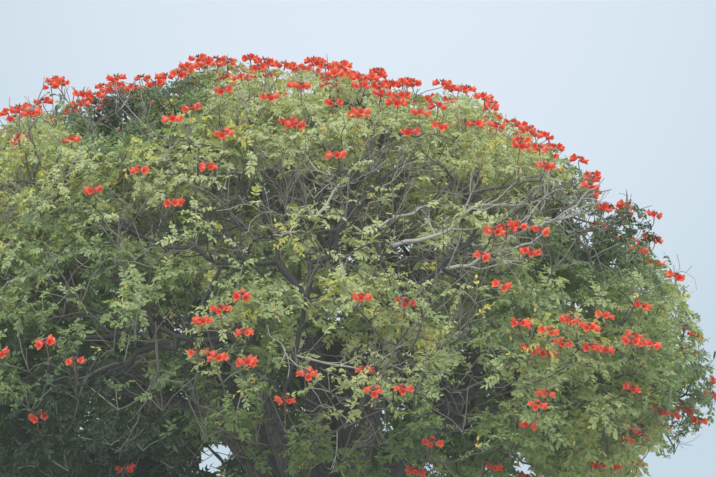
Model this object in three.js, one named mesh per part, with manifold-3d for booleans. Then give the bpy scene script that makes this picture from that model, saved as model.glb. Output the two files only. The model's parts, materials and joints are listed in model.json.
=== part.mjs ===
// African tulip tree in flower: a fluted trunk cut flat at ground level, the leaders that it forks
// into, the boughs that the leaders carry, and a mass of foliage and blossom at each bough's tip.
// Millimetres, +Z up, -Y is the front. The origin is the middle of the flat cut under the trunk.
import * as THREE from "three";
import { mergeVertices } from "three/addons/utils/BufferGeometryUtils.js";
import Module from "manifold-3d";

const wasm = await Module();
wasm.setup();

// The crown's skin is a dome on a shallow skirt. It sinks a little towards the right.
const CROWN_TOP = 10360;
const CROWN_SKIRT = 4650;
const CROWN = {
  middle: new THREE.Vector3(-500, 0, CROWN_SKIRT),
  halfWidth: 7000,
  halfDepth: 6400,
  rise: CROWN_TOP - CROWN_SKIRT,
  drop: 1450,
  fullness: 2.25, // 2 is an ellipsoid, and more is squarer
  slope: -0.07,
  leafLevel: 0.972, // the leaves end below the skin, and the flowers may reach it
};

// The masses of foliage stand in rings on the dome. Heights, turns and strays are in degrees.
const RINGS = [
  { carriers: "centre", count: 1, height: 90, turn: 0, stray: 0 },
  { carriers: "centre", count: 4, height: 63, turn: 38, stray: 3.5 },
  { carriers: "side", count: 7, height: 36, turn: 10, stray: 3.5 },
  { carriers: "side", count: 10, height: 6, turn: 0, stray: 3.5 },
];
const MASS = {
  depth: 1300, // from its middle out to the crown's skin
  reach: 2500,
  stray: 0.3, // along its ring, as a share of the distance to the next mass
  margin: 12, // half the gap between the spaces of two masses
};

const TRUNK = {
  top: 3100,
  radius: 500,
  flare: 400,
  flareHeight: 380,
  lobes: 5,
  lobeDepth: 0.19,
  lobeHeight: 620,
  leastLobe: 0.03,
  crotch: 70,
  crotchFrom: 0.55,
  dome: 520,
  lean: new THREE.Vector3(110, 40, 0),
  sides: 18,
  steps: 9,
};

// The trunk forks into leaders all round and two that go up through the middle of the crown.
const SIDE_LEADERS = 7;
const SIDE_LEADER = {
  turn: -15,
  stray: 4.5,
  foot: 2500,
  footStray: 420,
  reach: 2450,
  height: 5600,
  heightStray: 500,
  steepness: 33,
  radius: 185,
  tip: 125,
  sway: 90,
  sides: 7,
  steps: 5,
};
const CENTRE_LEADERS = [
  { x: -420, y: -650, height: 6950, foot: 2550 },
  { x: 640, y: 560, height: 6800, foot: 2500 },
];
const CENTRE_LEADER = { radius: 235, tip: 150, sway: 90, sides: 7, steps: 6 };

const BOUGH = {
  radius: 112,
  tip: 62,
  sway: 60,
  lastStart: 0.97, // of the boughs at a leader's side, as a share of the leader's length
  apart: 0.15,
  straightness: 0.62,
  short: 0.34, // ends this share of the mass's reach before its middle
  sides: 5,
  steps: 4,
};

const STEM = { radius: BOUGH.tip, tip: 52, beyond: 0.12, sides: 5, steps: 2 };
const TWIG = {
  count: 6,
  radius: 36,
  tip: 26,
  widest: 98,
  lowest: 0.35, // the stem's share at which the widest twig starts
  rise: 0.35,
  reach: 0.6,
  sides: 3,
  steps: 1,
};
const LEAF = {
  length: 1850,
  width: 1040,
  thickness: 40,
  shortest: 600,
  sunk: 6,
  broadest: 0.42,
  arch: 0.07,
  opening: 73, // degrees from the way out of the crown
  openingStray: 14,
  tries: 5,
};
const LEAF_PLACES = [
  { share: 0.97, turn: 0, stray: 1.2 },
  { share: 0.9, turn: 2.1, stray: 1.1 },
  { share: 0.83, turn: -2.1, stray: 1.1 },
];
const FLOWER = {
  place: 0.96,
  radius: 190,
  height: 90,
  stalk: 340,
  share: 0.25,
  moreOnTop: 0.35,
  topFrom: 0.6,
};

const GAP = 0.3; // between solids that meet
const CLEAR = 25; // between foliage and a limb that it passes
const SLIVER = 0.05; // edges up to this long are closed up
const GOLDEN_TURN = Math.PI * (3 - Math.sqrt(5));
const UP = new THREE.Vector3(0, 0, 1);
const { degToRad, lerp } = THREE.MathUtils;

// A minimal standard random number generator. Each limb, mass and twig has a seed of its own.
const SEEDS = { side: 100, centre: 150, mass: 200, bough: 300, twig: 1000, perRing: 20, perMass: 50 };
function dice(seed) {
  const prime = 2147483647;
  let state = (7919 * seed + 12345) % prime;
  const roll = () => {
    state = (state * 48271) % prime;
    return state / prime;
  };
  roll();
  roll();
  return roll;
}

const stray = (roll, width) => width * (roll() - 0.5);
const along = (start, direction, distance) => start.clone().addScaledVector(direction, distance);
const unit = (from, to) => to.clone().sub(from).normalize();

function towards(azimuth, height) {
  const level = Math.cos(height);
  return new THREE.Vector3(level * Math.cos(azimuth), level * Math.sin(azimuth), Math.sin(height));
}

// Two axes square to a direction.
function across(direction) {
  const side = Math.abs(direction.z) < 0.9 ? UP : new THREE.Vector3(1, 0, 0);
  const first = new THREE.Vector3().crossVectors(side, direction).normalize();
  return [first, new THREE.Vector3().crossVectors(first, direction)];
}

// The direction that leans from an axis by one angle and is turned round it by another.
function leaning(axis, opening, around) {
  const [first, second] = across(axis);
  const side = along(first.multiplyScalar(Math.cos(around)), second, Math.sin(around));
  return along(axis.clone().multiplyScalar(Math.cos(opening)), side, Math.sin(opening));
}

// 1 on the crown's skin, and less inside it.
function crownLevel(point) {
  const p = point.clone().sub(CROWN.middle);
  p.z -= CROWN.slope * p.x;
  const tall = p.z > 0 ? CROWN.rise : CROWN.drop;
  const sum =
    Math.abs(p.x / CROWN.halfWidth) ** CROWN.fullness +
    Math.abs(p.y / CROWN.halfDepth) ** CROWN.fullness +
    Math.abs(p.z / tall) ** CROWN.fullness;
  return sum ** (1 / CROWN.fullness);
}

// How far one can go from a point before leaving the space.
function room(isInside, from, direction, most) {
  let near = 0;
  let far = most;
  while (far - near > 0.1) {
    const middle = (near + far) / 2;
    if (isInside(along(from, direction, middle))) near = middle;
    else far = middle;
  }
  return near;
}

// Solids

function solidOf(geometry) {
  geometry.deleteAttribute("normal");
  geometry.deleteAttribute("uv");
  const merged = mergeVertices(geometry, 1e-3);
  return new wasm.Manifold(
    new wasm.Mesh({
      numProp: 3,
      vertProperties: merged.attributes.position.array,
      triVerts: new Uint32Array(merged.index.array),
    }),
  );
}

// The largest closed body of a solid, with sealed hollows filled and loose scraps dropped.
function mainBody(solid) {
  return solid.decompose().reduce((a, b) => (b.volume() > a.volume() ? b : a));
}

function geometryOf(solid) {
  const mesh = solid.getMesh();
  const geometry = new THREE.BufferGeometry();
  geometry.setAttribute("position", new THREE.BufferAttribute(mesh.vertProperties, mesh.numProp));
  geometry.setIndex(new THREE.BufferAttribute(mesh.triVerts, 1));
  geometry.computeVertexNormals();
  return geometry;
}

function pointsOf(solid) {
  const position = geometryOf(solid).attributes.position;
  return Array.from({ length: position.count }, (_, i) =>
    new THREE.Vector3().fromBufferAttribute(position, i),
  );
}

function meet(a, b) {
  const [first, second] = [a.boundingBox(), b.boundingBox()];
  const near = first.min.every((low, i) => low < second.max[i] && second.min[i] < first.max[i]);
  return near && !a.intersect(b).isEmpty();
}

// A round limb along a curve, tapering evenly. It can be grown all round, to cut its neighbours.
function limbSolid({ curve, radius, tip, sides, steps }, grow = 0) {
  const geometry = new THREE.CylinderGeometry(1, 1, 1, sides, steps);
  const position = geometry.attributes.position;
  const [side] = across(curve.getTangent(0));
  const rings = [];
  for (let i = 0; i <= steps; i += 1) {
    const share = i / steps;
    const tangent = curve.getTangent(share);
    side.addScaledVector(tangent, -side.dot(tangent)).normalize();
    const end = { 0: -grow, [steps]: grow }[i] ?? 0;
    rings.push({
      middle: along(curve.getPoint(share), tangent, end),
      first: side.clone(),
      second: new THREE.Vector3().crossVectors(side, tangent),
      radius: lerp(radius, tip, share) + grow / Math.cos(Math.PI / sides),
    });
  }
  for (let i = 0; i < position.count; i += 1) {
    const ring = rings[Math.round((position.getY(i) + 0.5) * steps)];
    const point = along(ring.middle, ring.first, position.getX(i) * ring.radius);
    point.addScaledVector(ring.second, position.getZ(i) * ring.radius);
    position.setXYZ(i, ...point);
  }
  return solidOf(geometry);
}

// A curve from start to end that leaves along a direction, with a slow sway to one side.
function swayingCurve(start, leaving, end, sway, roll) {
  const control = along(start, leaving, 0.45 * start.distanceTo(end));
  const bend = new THREE.QuadraticBezierCurve3(start, control, end);
  const side = leaning(unit(start, end), Math.PI / 2, 2 * Math.PI * roll());
  const stations = 6;
  const points = [];
  for (let i = 0; i <= stations; i += 1) {
    const share = i / stations;
    const shift = sway * Math.sin(2 * Math.PI * share) * Math.sin(Math.PI * share);
    points.push(along(bend.getPoint(share), side, shift));
  }
  return new THREE.CatmullRomCurve3(points, false, "centripetal");
}

// Trunk

const trunkMiddle = (z) => TRUNK.lean.clone().multiplyScalar((z / TRUNK.top) ** 1.5).setZ(z);

// Root flare and flutes at the foot, a slight swelling under the fork, and a rounded top.
function trunkRadius(z, angle) {
  const flare = TRUNK.flare * Math.exp(-z / TRUNK.flareHeight);
  const crotch = TRUNK.crotch * Math.max(0, z / TRUNK.top - TRUNK.crotchFrom);
  const lobe = TRUNK.leastLobe + TRUNK.lobeDepth * Math.exp(-z / TRUNK.lobeHeight);
  const wave = Math.cos(TRUNK.lobes * angle + 0.9 * Math.sin(angle));
  const above = Math.max(0, z - TRUNK.top + TRUNK.dome) / (1.04 * TRUNK.dome);
  return (TRUNK.radius + flare + crotch) * (1 + lobe * wave) * Math.sqrt(1 - above ** 2);
}

function trunkSolid(grow = 0) {
  const geometry = new THREE.CylinderGeometry(1, 1, 1, TRUNK.sides, TRUNK.steps);
  const position = geometry.attributes.position;
  for (let i = 0; i < position.count; i += 1) {
    const share = position.getY(i) + 0.5;
    const closerAtEnds = THREE.MathUtils.smoothstep(share, 0, 1);
    const z = TRUNK.top * lerp(share, closerAtEnds, 0.55);
    const angle = Math.atan2(-position.getZ(i), position.getX(i));
    const outward = Math.hypot(position.getX(i), position.getZ(i));
    const point = along(trunkMiddle(z), towards(angle, 0), outward * (trunkRadius(z, angle) + grow));
    position.setXYZ(i, point.x, point.y, share === 1 ? z + grow : z);
  }
  return solidOf(geometry);
}

// Leaders and boughs

function sideLeader(index) {
  const roll = dice(SEEDS.side + index);
  const azimuth = degToRad(SIDE_LEADER.turn + (360 / SIDE_LEADERS) * index);
  const heading = azimuth + degToRad(stray(roll, 2 * SIDE_LEADER.stray));
  const start = trunkMiddle(SIDE_LEADER.foot + SIDE_LEADER.footStray * roll());
  const reach = SIDE_LEADER.reach * (1 + stray(roll, 0.12));
  const end = towards(heading, 0).multiplyScalar(reach);
  end.z = SIDE_LEADER.height + stray(roll, SIDE_LEADER.heightStray);
  const leaving = towards(heading, degToRad(SIDE_LEADER.steepness));
  const curve = swayingCurve(start, leaving, end, SIDE_LEADER.sway, roll);
  return { ...SIDE_LEADER, name: `leader_side_${index + 1}`, kind: "side", azimuth, curve };
}

function centreLeader(place, index) {
  const roll = dice(SEEDS.centre + index);
  const start = trunkMiddle(place.foot);
  const end = new THREE.Vector3(place.x, place.y, place.height);
  const azimuth = Math.atan2(place.y, place.x);
  const curve = swayingCurve(start, unit(start.clone().setZ(0), end), end, CENTRE_LEADER.sway, roll);
  return { ...CENTRE_LEADER, name: `leader_centre_${index + 1}`, kind: "centre", azimuth, curve };
}

function massPlaces() {
  const places = [];
  RINGS.forEach((ring, level) => {
    for (let i = 0; i < ring.count; i += 1) {
      const roll = dice(SEEDS.mass + SEEDS.perRing * level + i);
      const turns = (i + stray(roll, MASS.stray)) / ring.count;
      const azimuth = degToRad(ring.turn + 360 * turns);
      const outward = towards(azimuth, degToRad(ring.height + stray(roll, 2 * ring.stray)));
      const skin = room((p) => crownLevel(p) < 1, CROWN.middle, outward, 2 * CROWN.halfWidth);
      const depth = MASS.depth * lerp(0.9, 1.15, roll());
      const middle = along(CROWN.middle, outward, skin - depth);
      places.push({ number: places.length + 1, carriers: ring.carriers, level, azimuth, outward, middle });
    }
  });
  return places;
}

const angleBetween = (a, b) => Math.abs(Math.atan2(Math.sin(a - b), Math.cos(a - b)));

function carrierOf(mass, leaders) {
  const able = leaders.filter((leader) => leader.kind === mass.carriers);
  const turned = (leader) => angleBetween(leader.azimuth, mass.azimuth);
  return able.reduce((a, b) => (turned(b) < turned(a) ? b : a));
}

// The boughs of one leader. The lowest masses come first, and the highest goes on from its tip.
function boughsOf(leader, masses) {
  const carried = [...masses].sort((a, b) => b.level - a.level || a.azimuth - b.azimuth);
  return carried.map((mass, order) => {
    const above = carried.length - 1 - order;
    const isLast = above === 0;
    const share = isLast ? 1 : BOUGH.lastStart - BOUGH.apart * above;
    const start = leader.curve.getPoint(share);
    const straight = unit(start, mass.middle);
    const leaving = leader.curve.getTangent(share);
    if (!isLast) leaving.lerp(straight, BOUGH.straightness).normalize();
    const end = along(mass.middle, straight, -BOUGH.short * MASS.reach);
    const curve = swayingCurve(start, leaving, end, BOUGH.sway, dice(SEEDS.bough + mass.number));
    const radius = isLast ? leader.tip : BOUGH.radius;
    return { ...BOUGH, name: `bough_${twoDigits(mass.number)}`, mass, curve, radius };
  });
}

const twoDigits = (number) => String(number).padStart(2, "0");

// Foliage

// A mass keeps to what is nearer to its middle than to any other's, within its reach and the crown.
function spaceOf(mass, masses, level) {
  const others = masses.filter((other) => other !== mass);
  return (point) => {
    const own = point.distanceTo(mass.middle);
    if (own > MASS.reach || crownLevel(point) > level) return false;
    return others.every((other) => {
      const apart = other.middle.distanceTo(mass.middle);
      const beyond = (point.distanceToSquared(other.middle) - own ** 2) / (2 * apart);
      return beyond > MASS.margin;
    });
  };
}

// A leaf stands for a spray: a thin blade of eight faces, broadest nearer its root and arched.
function leafSolid(root, direction, facing, length) {
  const blade = new THREE.OctahedronGeometry(1);
  const position = blade.attributes.position;
  const normal = along(facing, direction, -facing.dot(direction)).normalize();
  const side = new THREE.Vector3().crossVectors(normal, direction);
  const halfWidth = (LEAF.width * length) / LEAF.length / 2;
  for (let i = 0; i < position.count; i += 1) {
    const [x, y, z] = [position.getX(i), position.getY(i), position.getZ(i)];
    const isEnd = Math.abs(x) > 0.5;
    const end = x > 0 ? length : -LEAF.sunk;
    const point = along(root, direction, isEnd ? end : LEAF.broadest * length);
    point.addScaledVector(side, y * halfWidth);
    point.addScaledVector(normal, (isEnd ? 0 : LEAF.arch * length) + (z * LEAF.thickness) / 2);
    position.setXYZ(i, ...point);
  }
  return solidOf(blade);
}

// A leaf at a place on its twig, turned round the twig from the twig's own heading.
function leafOn(twig, place, isInside) {
  const [first, second] = across(twig.outward);
  const heading = twig.curve.getTangent(1);
  const ahead = Math.atan2(heading.dot(second), heading.dot(first));
  const turn = ahead + place.turn + stray(twig.roll, place.stray);
  const opening = degToRad(LEAF.opening + stray(twig.roll, LEAF.openingStray));
  const direction = leaning(twig.outward, opening, turn);
  const root = twig.curve.getPoint(place.share);
  const length = Math.min(LEAF.length, 0.97 * room(isInside, root, direction, 2 * LEAF.length));
  return length < LEAF.shortest ? null : leafSolid(root, direction, twig.outward, length);
}

// A head of open flowers is a shallow cup that narrows down to its stalk's root in the twig.
function flowerSolid(twig) {
  const root = twig.curve.getPoint(FLOWER.place);
  const direction = twig.outward.clone().multiplyScalar(0.55).addScaledVector(UP, 0.7).normalize();
  const cup = new THREE.SphereGeometry(1, 5, 2);
  const position = cup.attributes.position;
  const [first, second] = across(direction);
  for (let i = 0; i < position.count; i += 1) {
    const level = position.getY(i);
    const rise = level > 0 ? FLOWER.height * level : (FLOWER.stalk + LEAF.sunk) * level;
    const point = along(root, direction, FLOWER.stalk + rise);
    point.addScaledVector(first, FLOWER.radius * position.getX(i));
    point.addScaledVector(second, FLOWER.radius * position.getZ(i));
    position.setXYZ(i, ...point);
  }
  return solidOf(cup);
}

// The twigs of a mass leave its stem and end on a golden spiral that faces out of the crown.
function twigsOf(mass, stem, isInside) {
  const facing = along(mass.outward, UP, TWIG.rise).normalize();
  const seed = SEEDS.twig + SEEDS.perMass * mass.number;
  const turn = 2 * Math.PI * dice(seed)();
  const widest = degToRad(TWIG.widest);
  const twigs = [];
  for (let i = 0; i < TWIG.count; i += 1) {
    const roll = dice(seed + 1 + i);
    const opening = Math.acos(1 - ((i + 0.5) / TWIG.count) * (1 - Math.cos(widest)));
    const outward = leaning(facing, opening, turn + i * GOLDEN_TURN);
    const reach = TWIG.reach * room(isInside, mass.middle, outward, MASS.reach);
    const start = stem.curve.getPoint(lerp(1, TWIG.lowest, opening / widest));
    const end = along(mass.middle, outward, reach * (1 + stray(roll, 0.2)));
    const curve = new THREE.LineCurve3(start, end);
    twigs.push({ curve, outward, roll, solid: limbSolid({ ...TWIG, curve }) });
  }
  return twigs;
}

// One leaf goes on from a twig's tip and the rest stand to its sides. Each has a few tries.
function addLeaves(twig, pieces, fits, isInside) {
  const others = pieces.filter((piece) => piece !== twig.solid);
  for (const place of LEAF_PLACES) {
    for (let attempt = 0; attempt < LEAF.tries; attempt += 1) {
      const leaf = leafOn(twig, place, isInside);
      if (leaf && fits(leaf, isInside) && !others.some((piece) => meet(leaf, piece))) {
        pieces.push(leaf);
        break;
      }
    }
  }
}

function stemOf(mass, bough) {
  const tangent = bough.curve.getTangent(1);
  const start = along(bough.curve.getPoint(1), tangent, GAP);
  const end = along(mass.middle, mass.outward, STEM.beyond * MASS.reach);
  const control = along(start, tangent, 0.4 * start.distanceTo(end));
  return { ...STEM, curve: new THREE.QuadraticBezierCurve3(start, control, end) };
}

function massSolid(bough, masses, limbs) {
  const { mass } = bough;
  const isInside = spaceOf(mass, masses, 1);
  const inLeaf = spaceOf(mass, masses, CROWN.leafLevel);
  const fits = (solid, space) => pointsOf(solid).every(space) && !limbs.some((limb) => meet(solid, limb));
  const stem = stemOf(mass, bough);
  const twigs = twigsOf(mass, stem, isInside).filter((twig) => fits(twig.solid, inLeaf));
  const pieces = [limbSolid(stem), ...twigs.map((twig) => twig.solid)];
  for (const twig of twigs) addLeaves(twig, pieces, fits, inLeaf);
  for (const twig of twigs) {
    const share = FLOWER.share + (twig.outward.z > FLOWER.topFrom ? FLOWER.moreOnTop : 0);
    const flower = flowerSolid(twig);
    if (twig.roll() < share && fits(flower, isInside)) pieces.push(flower);
  }
  return mainBody(wasm.Manifold.union(pieces).simplify(SLIVER));
}

// Assembly

const MATERIALS = {
  bark: new THREE.MeshStandardMaterial({ color: 0x5b524a, roughness: 0.95, metalness: 0 }),
  foliage: new THREE.MeshStandardMaterial({ color: 0x5d7340, roughness: 0.75, metalness: 0 }),
};

// Each limb is cut clear of the limb that carries it and of those placed before it.
function limbSolids(limbs) {
  const cutters = [trunkSolid(GAP)];
  return limbs.map((limb) => {
    const whole = limbSolid(limb);
    const near = cutters.filter((cutter) => meet(cutter, whole));
    cutters.push(limbSolid(limb, GAP));
    return mainBody(whole.subtract(wasm.Manifold.union(near)).simplify(SLIVER));
  });
}

function buildTree() {
  const leaders = CENTRE_LEADERS.map(centreLeader);
  for (let i = 0; i < SIDE_LEADERS; i += 1) leaders.push(sideLeader(i));
  const masses = massPlaces();
  const boughs = leaders.flatMap((leader) =>
    boughsOf(leader, masses.filter((mass) => carrierOf(mass, leaders) === leader)),
  );
  const limbs = [...leaders, ...boughs];

  const tree = new THREE.Group();
  tree.name = "african_tulip_tree";
  const add = (name, solid, material) => {
    const mesh = new THREE.Mesh(geometryOf(solid), material);
    mesh.name = name;
    tree.add(mesh);
  };
  add("trunk", trunkSolid(), MATERIALS.bark);
  limbSolids(limbs).forEach((solid, i) => add(limbs[i].name, solid, MATERIALS.bark));
  const obstacles = new Map(limbs.map((limb) => [limb, limbSolid(limb, CLEAR)]));
  for (const bough of boughs) {
    const others = limbs.filter((limb) => limb !== bough).map((limb) => obstacles.get(limb));
    const solid = massSolid(bough, masses, [trunkSolid(CLEAR), ...others]);
    add(`foliage_${twoDigits(bough.mass.number)}`, solid, MATERIALS.foliage);
  }
  return tree;
}

export default buildTree();
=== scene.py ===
"""African tulip tree in flower: bark, twigs, leaves, blossom and pods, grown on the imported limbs.

The limbs follow the part's own rule, which is carried on here to finer twigs.
Metres, +Z up, -Y is the front, and the origin is the middle of the flat cut under the trunk.
"""
import json
import math
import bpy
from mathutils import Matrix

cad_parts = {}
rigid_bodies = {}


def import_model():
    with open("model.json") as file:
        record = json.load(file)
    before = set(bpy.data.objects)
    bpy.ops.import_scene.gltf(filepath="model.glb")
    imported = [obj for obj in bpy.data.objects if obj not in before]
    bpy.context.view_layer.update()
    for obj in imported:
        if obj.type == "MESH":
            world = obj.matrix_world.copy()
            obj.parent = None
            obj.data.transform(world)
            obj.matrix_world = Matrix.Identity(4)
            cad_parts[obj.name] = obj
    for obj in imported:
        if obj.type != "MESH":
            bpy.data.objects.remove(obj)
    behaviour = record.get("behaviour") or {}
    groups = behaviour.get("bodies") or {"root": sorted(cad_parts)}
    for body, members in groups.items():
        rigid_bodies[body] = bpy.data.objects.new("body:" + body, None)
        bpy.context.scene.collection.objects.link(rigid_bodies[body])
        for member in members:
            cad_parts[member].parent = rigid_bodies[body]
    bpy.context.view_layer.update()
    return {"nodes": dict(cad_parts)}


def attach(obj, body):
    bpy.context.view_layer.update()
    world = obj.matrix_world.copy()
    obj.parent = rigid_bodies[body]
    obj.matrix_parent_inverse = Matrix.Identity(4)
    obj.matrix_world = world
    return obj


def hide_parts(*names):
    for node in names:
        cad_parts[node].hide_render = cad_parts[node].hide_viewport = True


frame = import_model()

from copy import copy
from functools import cache
from types import SimpleNamespace as Sizes

import bmesh
import bpy
from bpy.props import FloatProperty, FloatVectorProperty, IntProperty, PointerProperty
from mathutils import Vector, noise
from mathutils.kdtree import KDTree

bl_info = {
    "name": "African Tulip Tree",
    "version": (1, 0, 0),
    "blender": (4, 5, 0),
    "location": "3D View > Sidebar > Tulip Tree",
    "description": "Grows an African tulip tree in flower around a fixed frame of limbs",
    "category": "Object",
}

BODY = "root"
NODES = sorted(frame["nodes"])
LIMB_NODES = [name for name in NODES if name.startswith(("trunk", "leader"))]
BOUGH_NODES = [name for name in NODES if name.startswith("bough")]
FOLIAGE_NODES = [name for name in NODES if name.startswith("foliage")]

UP = Vector((0, 0, 1))
SIDEWAYS = Vector((1, 0, 0))
GOLDEN_TURN = math.pi * (3 - math.sqrt(5))
# The upward part from which a direction counts as upright, and how exactly a room is found
UPRIGHT = 0.9
CLOSE_ENOUGH = 1e-4


def table(columns, *rows):
    """Rows of plain values as objects whose values have the columns' names."""
    return [Sizes(**dict(zip(columns.split(), row))) for row in rows]


# The rule of the limbs, as in the part

# The crown's skin is a dome on a shallow skirt. It sinks a little towards the right.
CROWN = Sizes(
    middle=Vector((-0.5, 0, 4.65)), half_width=7.0, half_depth=6.4, rise=10.36 - 4.65,
    drop=1.45, fullness=2.25, slope=-0.07,
)
# The masses of foliage stand in rings on the dome. Heights, turns and strays are in degrees.
RINGS = table(
    "carriers count height turn stray",
    ("centre", 1, 90, 0, 0),
    ("centre", 4, 63, 38, 3.5),
    ("side", 7, 36, 10, 3.5),
    ("side", 10, 6, 0, 3.5),
)
MASS = Sizes(depth=1.3, depths=(0.9, 1.15), reach=2.5, stray=0.3, margin=0.012)
TRUNK = Sizes(
    top=3.1, radius=0.5, flare=0.4, flare_height=0.38, lobes=5, lobe_depth=0.19,
    lobe_height=0.62, least_lobe=0.03, lobe_skew=0.9, crotch=0.07, crotch_from=0.55, dome=0.52,
    flat_top=1.04, lean=Vector((0.11, 0.04, 0)), lean_growth=1.5,
)
SIDE_LEADERS = 7
SIDE_LEADER = Sizes(
    turn=-15, stray=4.5, foot=2.5, foot_stray=0.42, reach=2.45, reach_stray=0.12, height=5.6,
    height_stray=0.5, steepness=33, radius=0.185, tip=0.125, sway=0.09,
)
SWAY = Sizes(leaving=0.45, stations=6)
CENTRE_LEADERS = (Vector((-0.42, -0.65, 6.95)), Vector((0.64, 0.56, 6.8)))
CENTRE_FEET = (2.55, 2.5)
CENTRE_LEADER = Sizes(radius=0.235, tip=0.15, sway=0.09)
BOUGH = Sizes(
    radius=0.112, tip=0.062, sway=0.06, last_start=0.97, apart=0.15, straightness=0.62, short=0.34
)
STEM = Sizes(beyond=0.12, points=9, leaving=0.4)
TWIG = Sizes(count=6, widest=98, lowest=0.35, rise=0.35, reach=0.6, stray=0.2)
SEEDS = Sizes(side=100, centre=150, mass=200, bough=300, twig=1000, per_ring=20, per_mass=50)
DICE = Sizes(prime=2147483647, factor=48271, seed_factor=7919, seed_shift=12345)


def dice(seed):
    """The part's random number generator: each roll is a share from 0 to 1."""
    state = (DICE.seed_factor * seed + DICE.seed_shift) % DICE.prime

    def roll():
        nonlocal state
        state = state * DICE.factor % DICE.prime
        return state / DICE.prime

    roll()
    roll()
    return roll


def stray(roll, width):
    return width * (roll() - 0.5)


def jolt(roll):
    return Vector((stray(roll, 2), stray(roll, 2), stray(roll, 2)))


def any_turn(roll):
    return 2 * math.pi * roll()


def mix(a, b, share):
    return a + (b - a) * share


def tapering(thick, thin, points, power=1.0):
    """A radius for each point, from thick to thin."""
    last = len(points) - 1
    return [mix(thick, thin, (i / last) ** power) for i in range(last + 1)]


def towards(azimuth, height):
    level = math.cos(height)
    return Vector((level * math.cos(azimuth), level * math.sin(azimuth), math.sin(height)))


def across(direction):
    """Two axes square to a direction."""
    side = UP if abs(direction.z) < UPRIGHT else SIDEWAYS
    first = side.cross(direction).normalized()
    return first, first.cross(direction)


def leaning(axis, opening, around):
    """The direction that leans from an axis by one angle and is turned round it by another."""
    first, second = across(axis)
    side = first * math.cos(around) + second * math.sin(around)
    return axis * math.cos(opening) + side * math.sin(opening)


class Curve:
    """A smooth way with a point for each share of it, from 0 to 1."""

    step = 1e-3

    def tangent(self, share):
        before = self.point(max(0.0, share - self.step))
        after = self.point(min(1.0, share + self.step))
        return (after - before).normalized()


class Bend(Curve):
    """A quadratic Bezier curve."""

    def __init__(self, start, control, end):
        self.ends = (start, control, end)

    def point(self, share):
        start, control, end = self.ends
        return mix(mix(start, control, share), mix(control, end, share), share)


class Spline(Curve):
    """A centripetal Catmull-Rom spline through a list of points."""

    def __init__(self, points):
        before = 2 * points[0] - points[1]
        after = 2 * points[-1] - points[-2]
        self.points = [before, *points, after]

    def point(self, share):
        spans = len(self.points) - 3
        index = min(int(share * spans), spans - 1)
        return self.on_span(index, share * spans - index)

    def on_span(self, index, share):
        a, b, c, d = self.points[index : index + 4]
        lengths = [math.sqrt((q - p).length) for p, q in ((a, b), (b, c), (c, d))]
        first, middle, last = lengths
        leaving = (b - a) / first - (c - a) / (first + middle) + (c - b) / middle
        arriving = (c - b) / middle - (d - b) / (middle + last) + (d - c) / last
        leaving *= middle
        arriving *= middle
        square = -3 * b + 3 * c - 2 * leaving - arriving
        cube = 2 * b - 2 * c + leaving + arriving
        return b + leaving * share + square * share**2 + cube * share**3


def swaying_curve(start, leaving, end, sway, roll):
    """A curve from start to end that leaves along a direction, with a slow sway to one side."""
    bend = Bend(start, start + leaving * SWAY.leaving * (end - start).length, end)
    side = leaning((end - start).normalized(), math.pi / 2, any_turn(roll))
    points = []
    for i in range(SWAY.stations + 1):
        share = i / SWAY.stations
        shift = sway * math.sin(2 * math.pi * share) * math.sin(math.pi * share)
        points.append(bend.point(share) + side * shift)
    return Spline(points)


def crown_level(point):
    """1 on the crown's skin, and less inside it."""
    x, y, z = point - CROWN.middle
    z -= CROWN.slope * x
    tall = CROWN.rise if z > 0 else CROWN.drop
    sides = ((x, CROWN.half_width), (y, CROWN.half_depth), (z, tall))
    total = sum(abs(value / side) ** CROWN.fullness for value, side in sides)
    return total ** (1 / CROWN.fullness)


def room(is_inside, start, direction, most):
    """How far one can go from a point before leaving the space."""
    near = 0.0
    far = most
    while far - near > CLOSE_ENOUGH:
        middle = (near + far) / 2
        if is_inside(start + direction * middle):
            near = middle
        else:
            far = middle
    return near


def trunk_middle(z):
    point = TRUNK.lean * (max(0.0, z) / TRUNK.top) ** TRUNK.lean_growth
    point.z = z
    return point


def trunk_radius(z, angle):
    """Root flare and flutes at the foot, a slight swelling under the fork, and a rounded top."""
    flare = TRUNK.flare * math.exp(-z / TRUNK.flare_height)
    crotch = TRUNK.crotch * max(0.0, z / TRUNK.top - TRUNK.crotch_from)
    lobe = TRUNK.least_lobe + TRUNK.lobe_depth * math.exp(-z / TRUNK.lobe_height)
    wave = math.cos(TRUNK.lobes * angle + TRUNK.lobe_skew * math.sin(angle))
    above = max(0.0, z - TRUNK.top + TRUNK.dome) / (TRUNK.flat_top * TRUNK.dome)
    return (TRUNK.radius + flare + crotch) * (1 + lobe * wave) * math.sqrt(1 - above**2)


def side_leader(index):
    roll = dice(SEEDS.side + index)
    azimuth = math.radians(SIDE_LEADER.turn + 360 / SIDE_LEADERS * index)
    heading = azimuth + math.radians(stray(roll, 2 * SIDE_LEADER.stray))
    start = trunk_middle(SIDE_LEADER.foot + SIDE_LEADER.foot_stray * roll())
    reach = SIDE_LEADER.reach * (1 + stray(roll, SIDE_LEADER.reach_stray))
    end = towards(heading, 0) * reach
    end.z = SIDE_LEADER.height + stray(roll, SIDE_LEADER.height_stray)
    leaving = towards(heading, math.radians(SIDE_LEADER.steepness))
    return leader_of("side", azimuth, SIDE_LEADER, (start, leaving, end), roll)


def centre_leader(index):
    start = trunk_middle(CENTRE_FEET[index])
    end = CENTRE_LEADERS[index]
    leaving = (end - Vector((start.x, start.y, 0))).normalized()
    azimuth = math.atan2(end.y, end.x)
    ways = (start, leaving, end)
    return leader_of("centre", azimuth, CENTRE_LEADER, ways, dice(SEEDS.centre + index))


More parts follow.
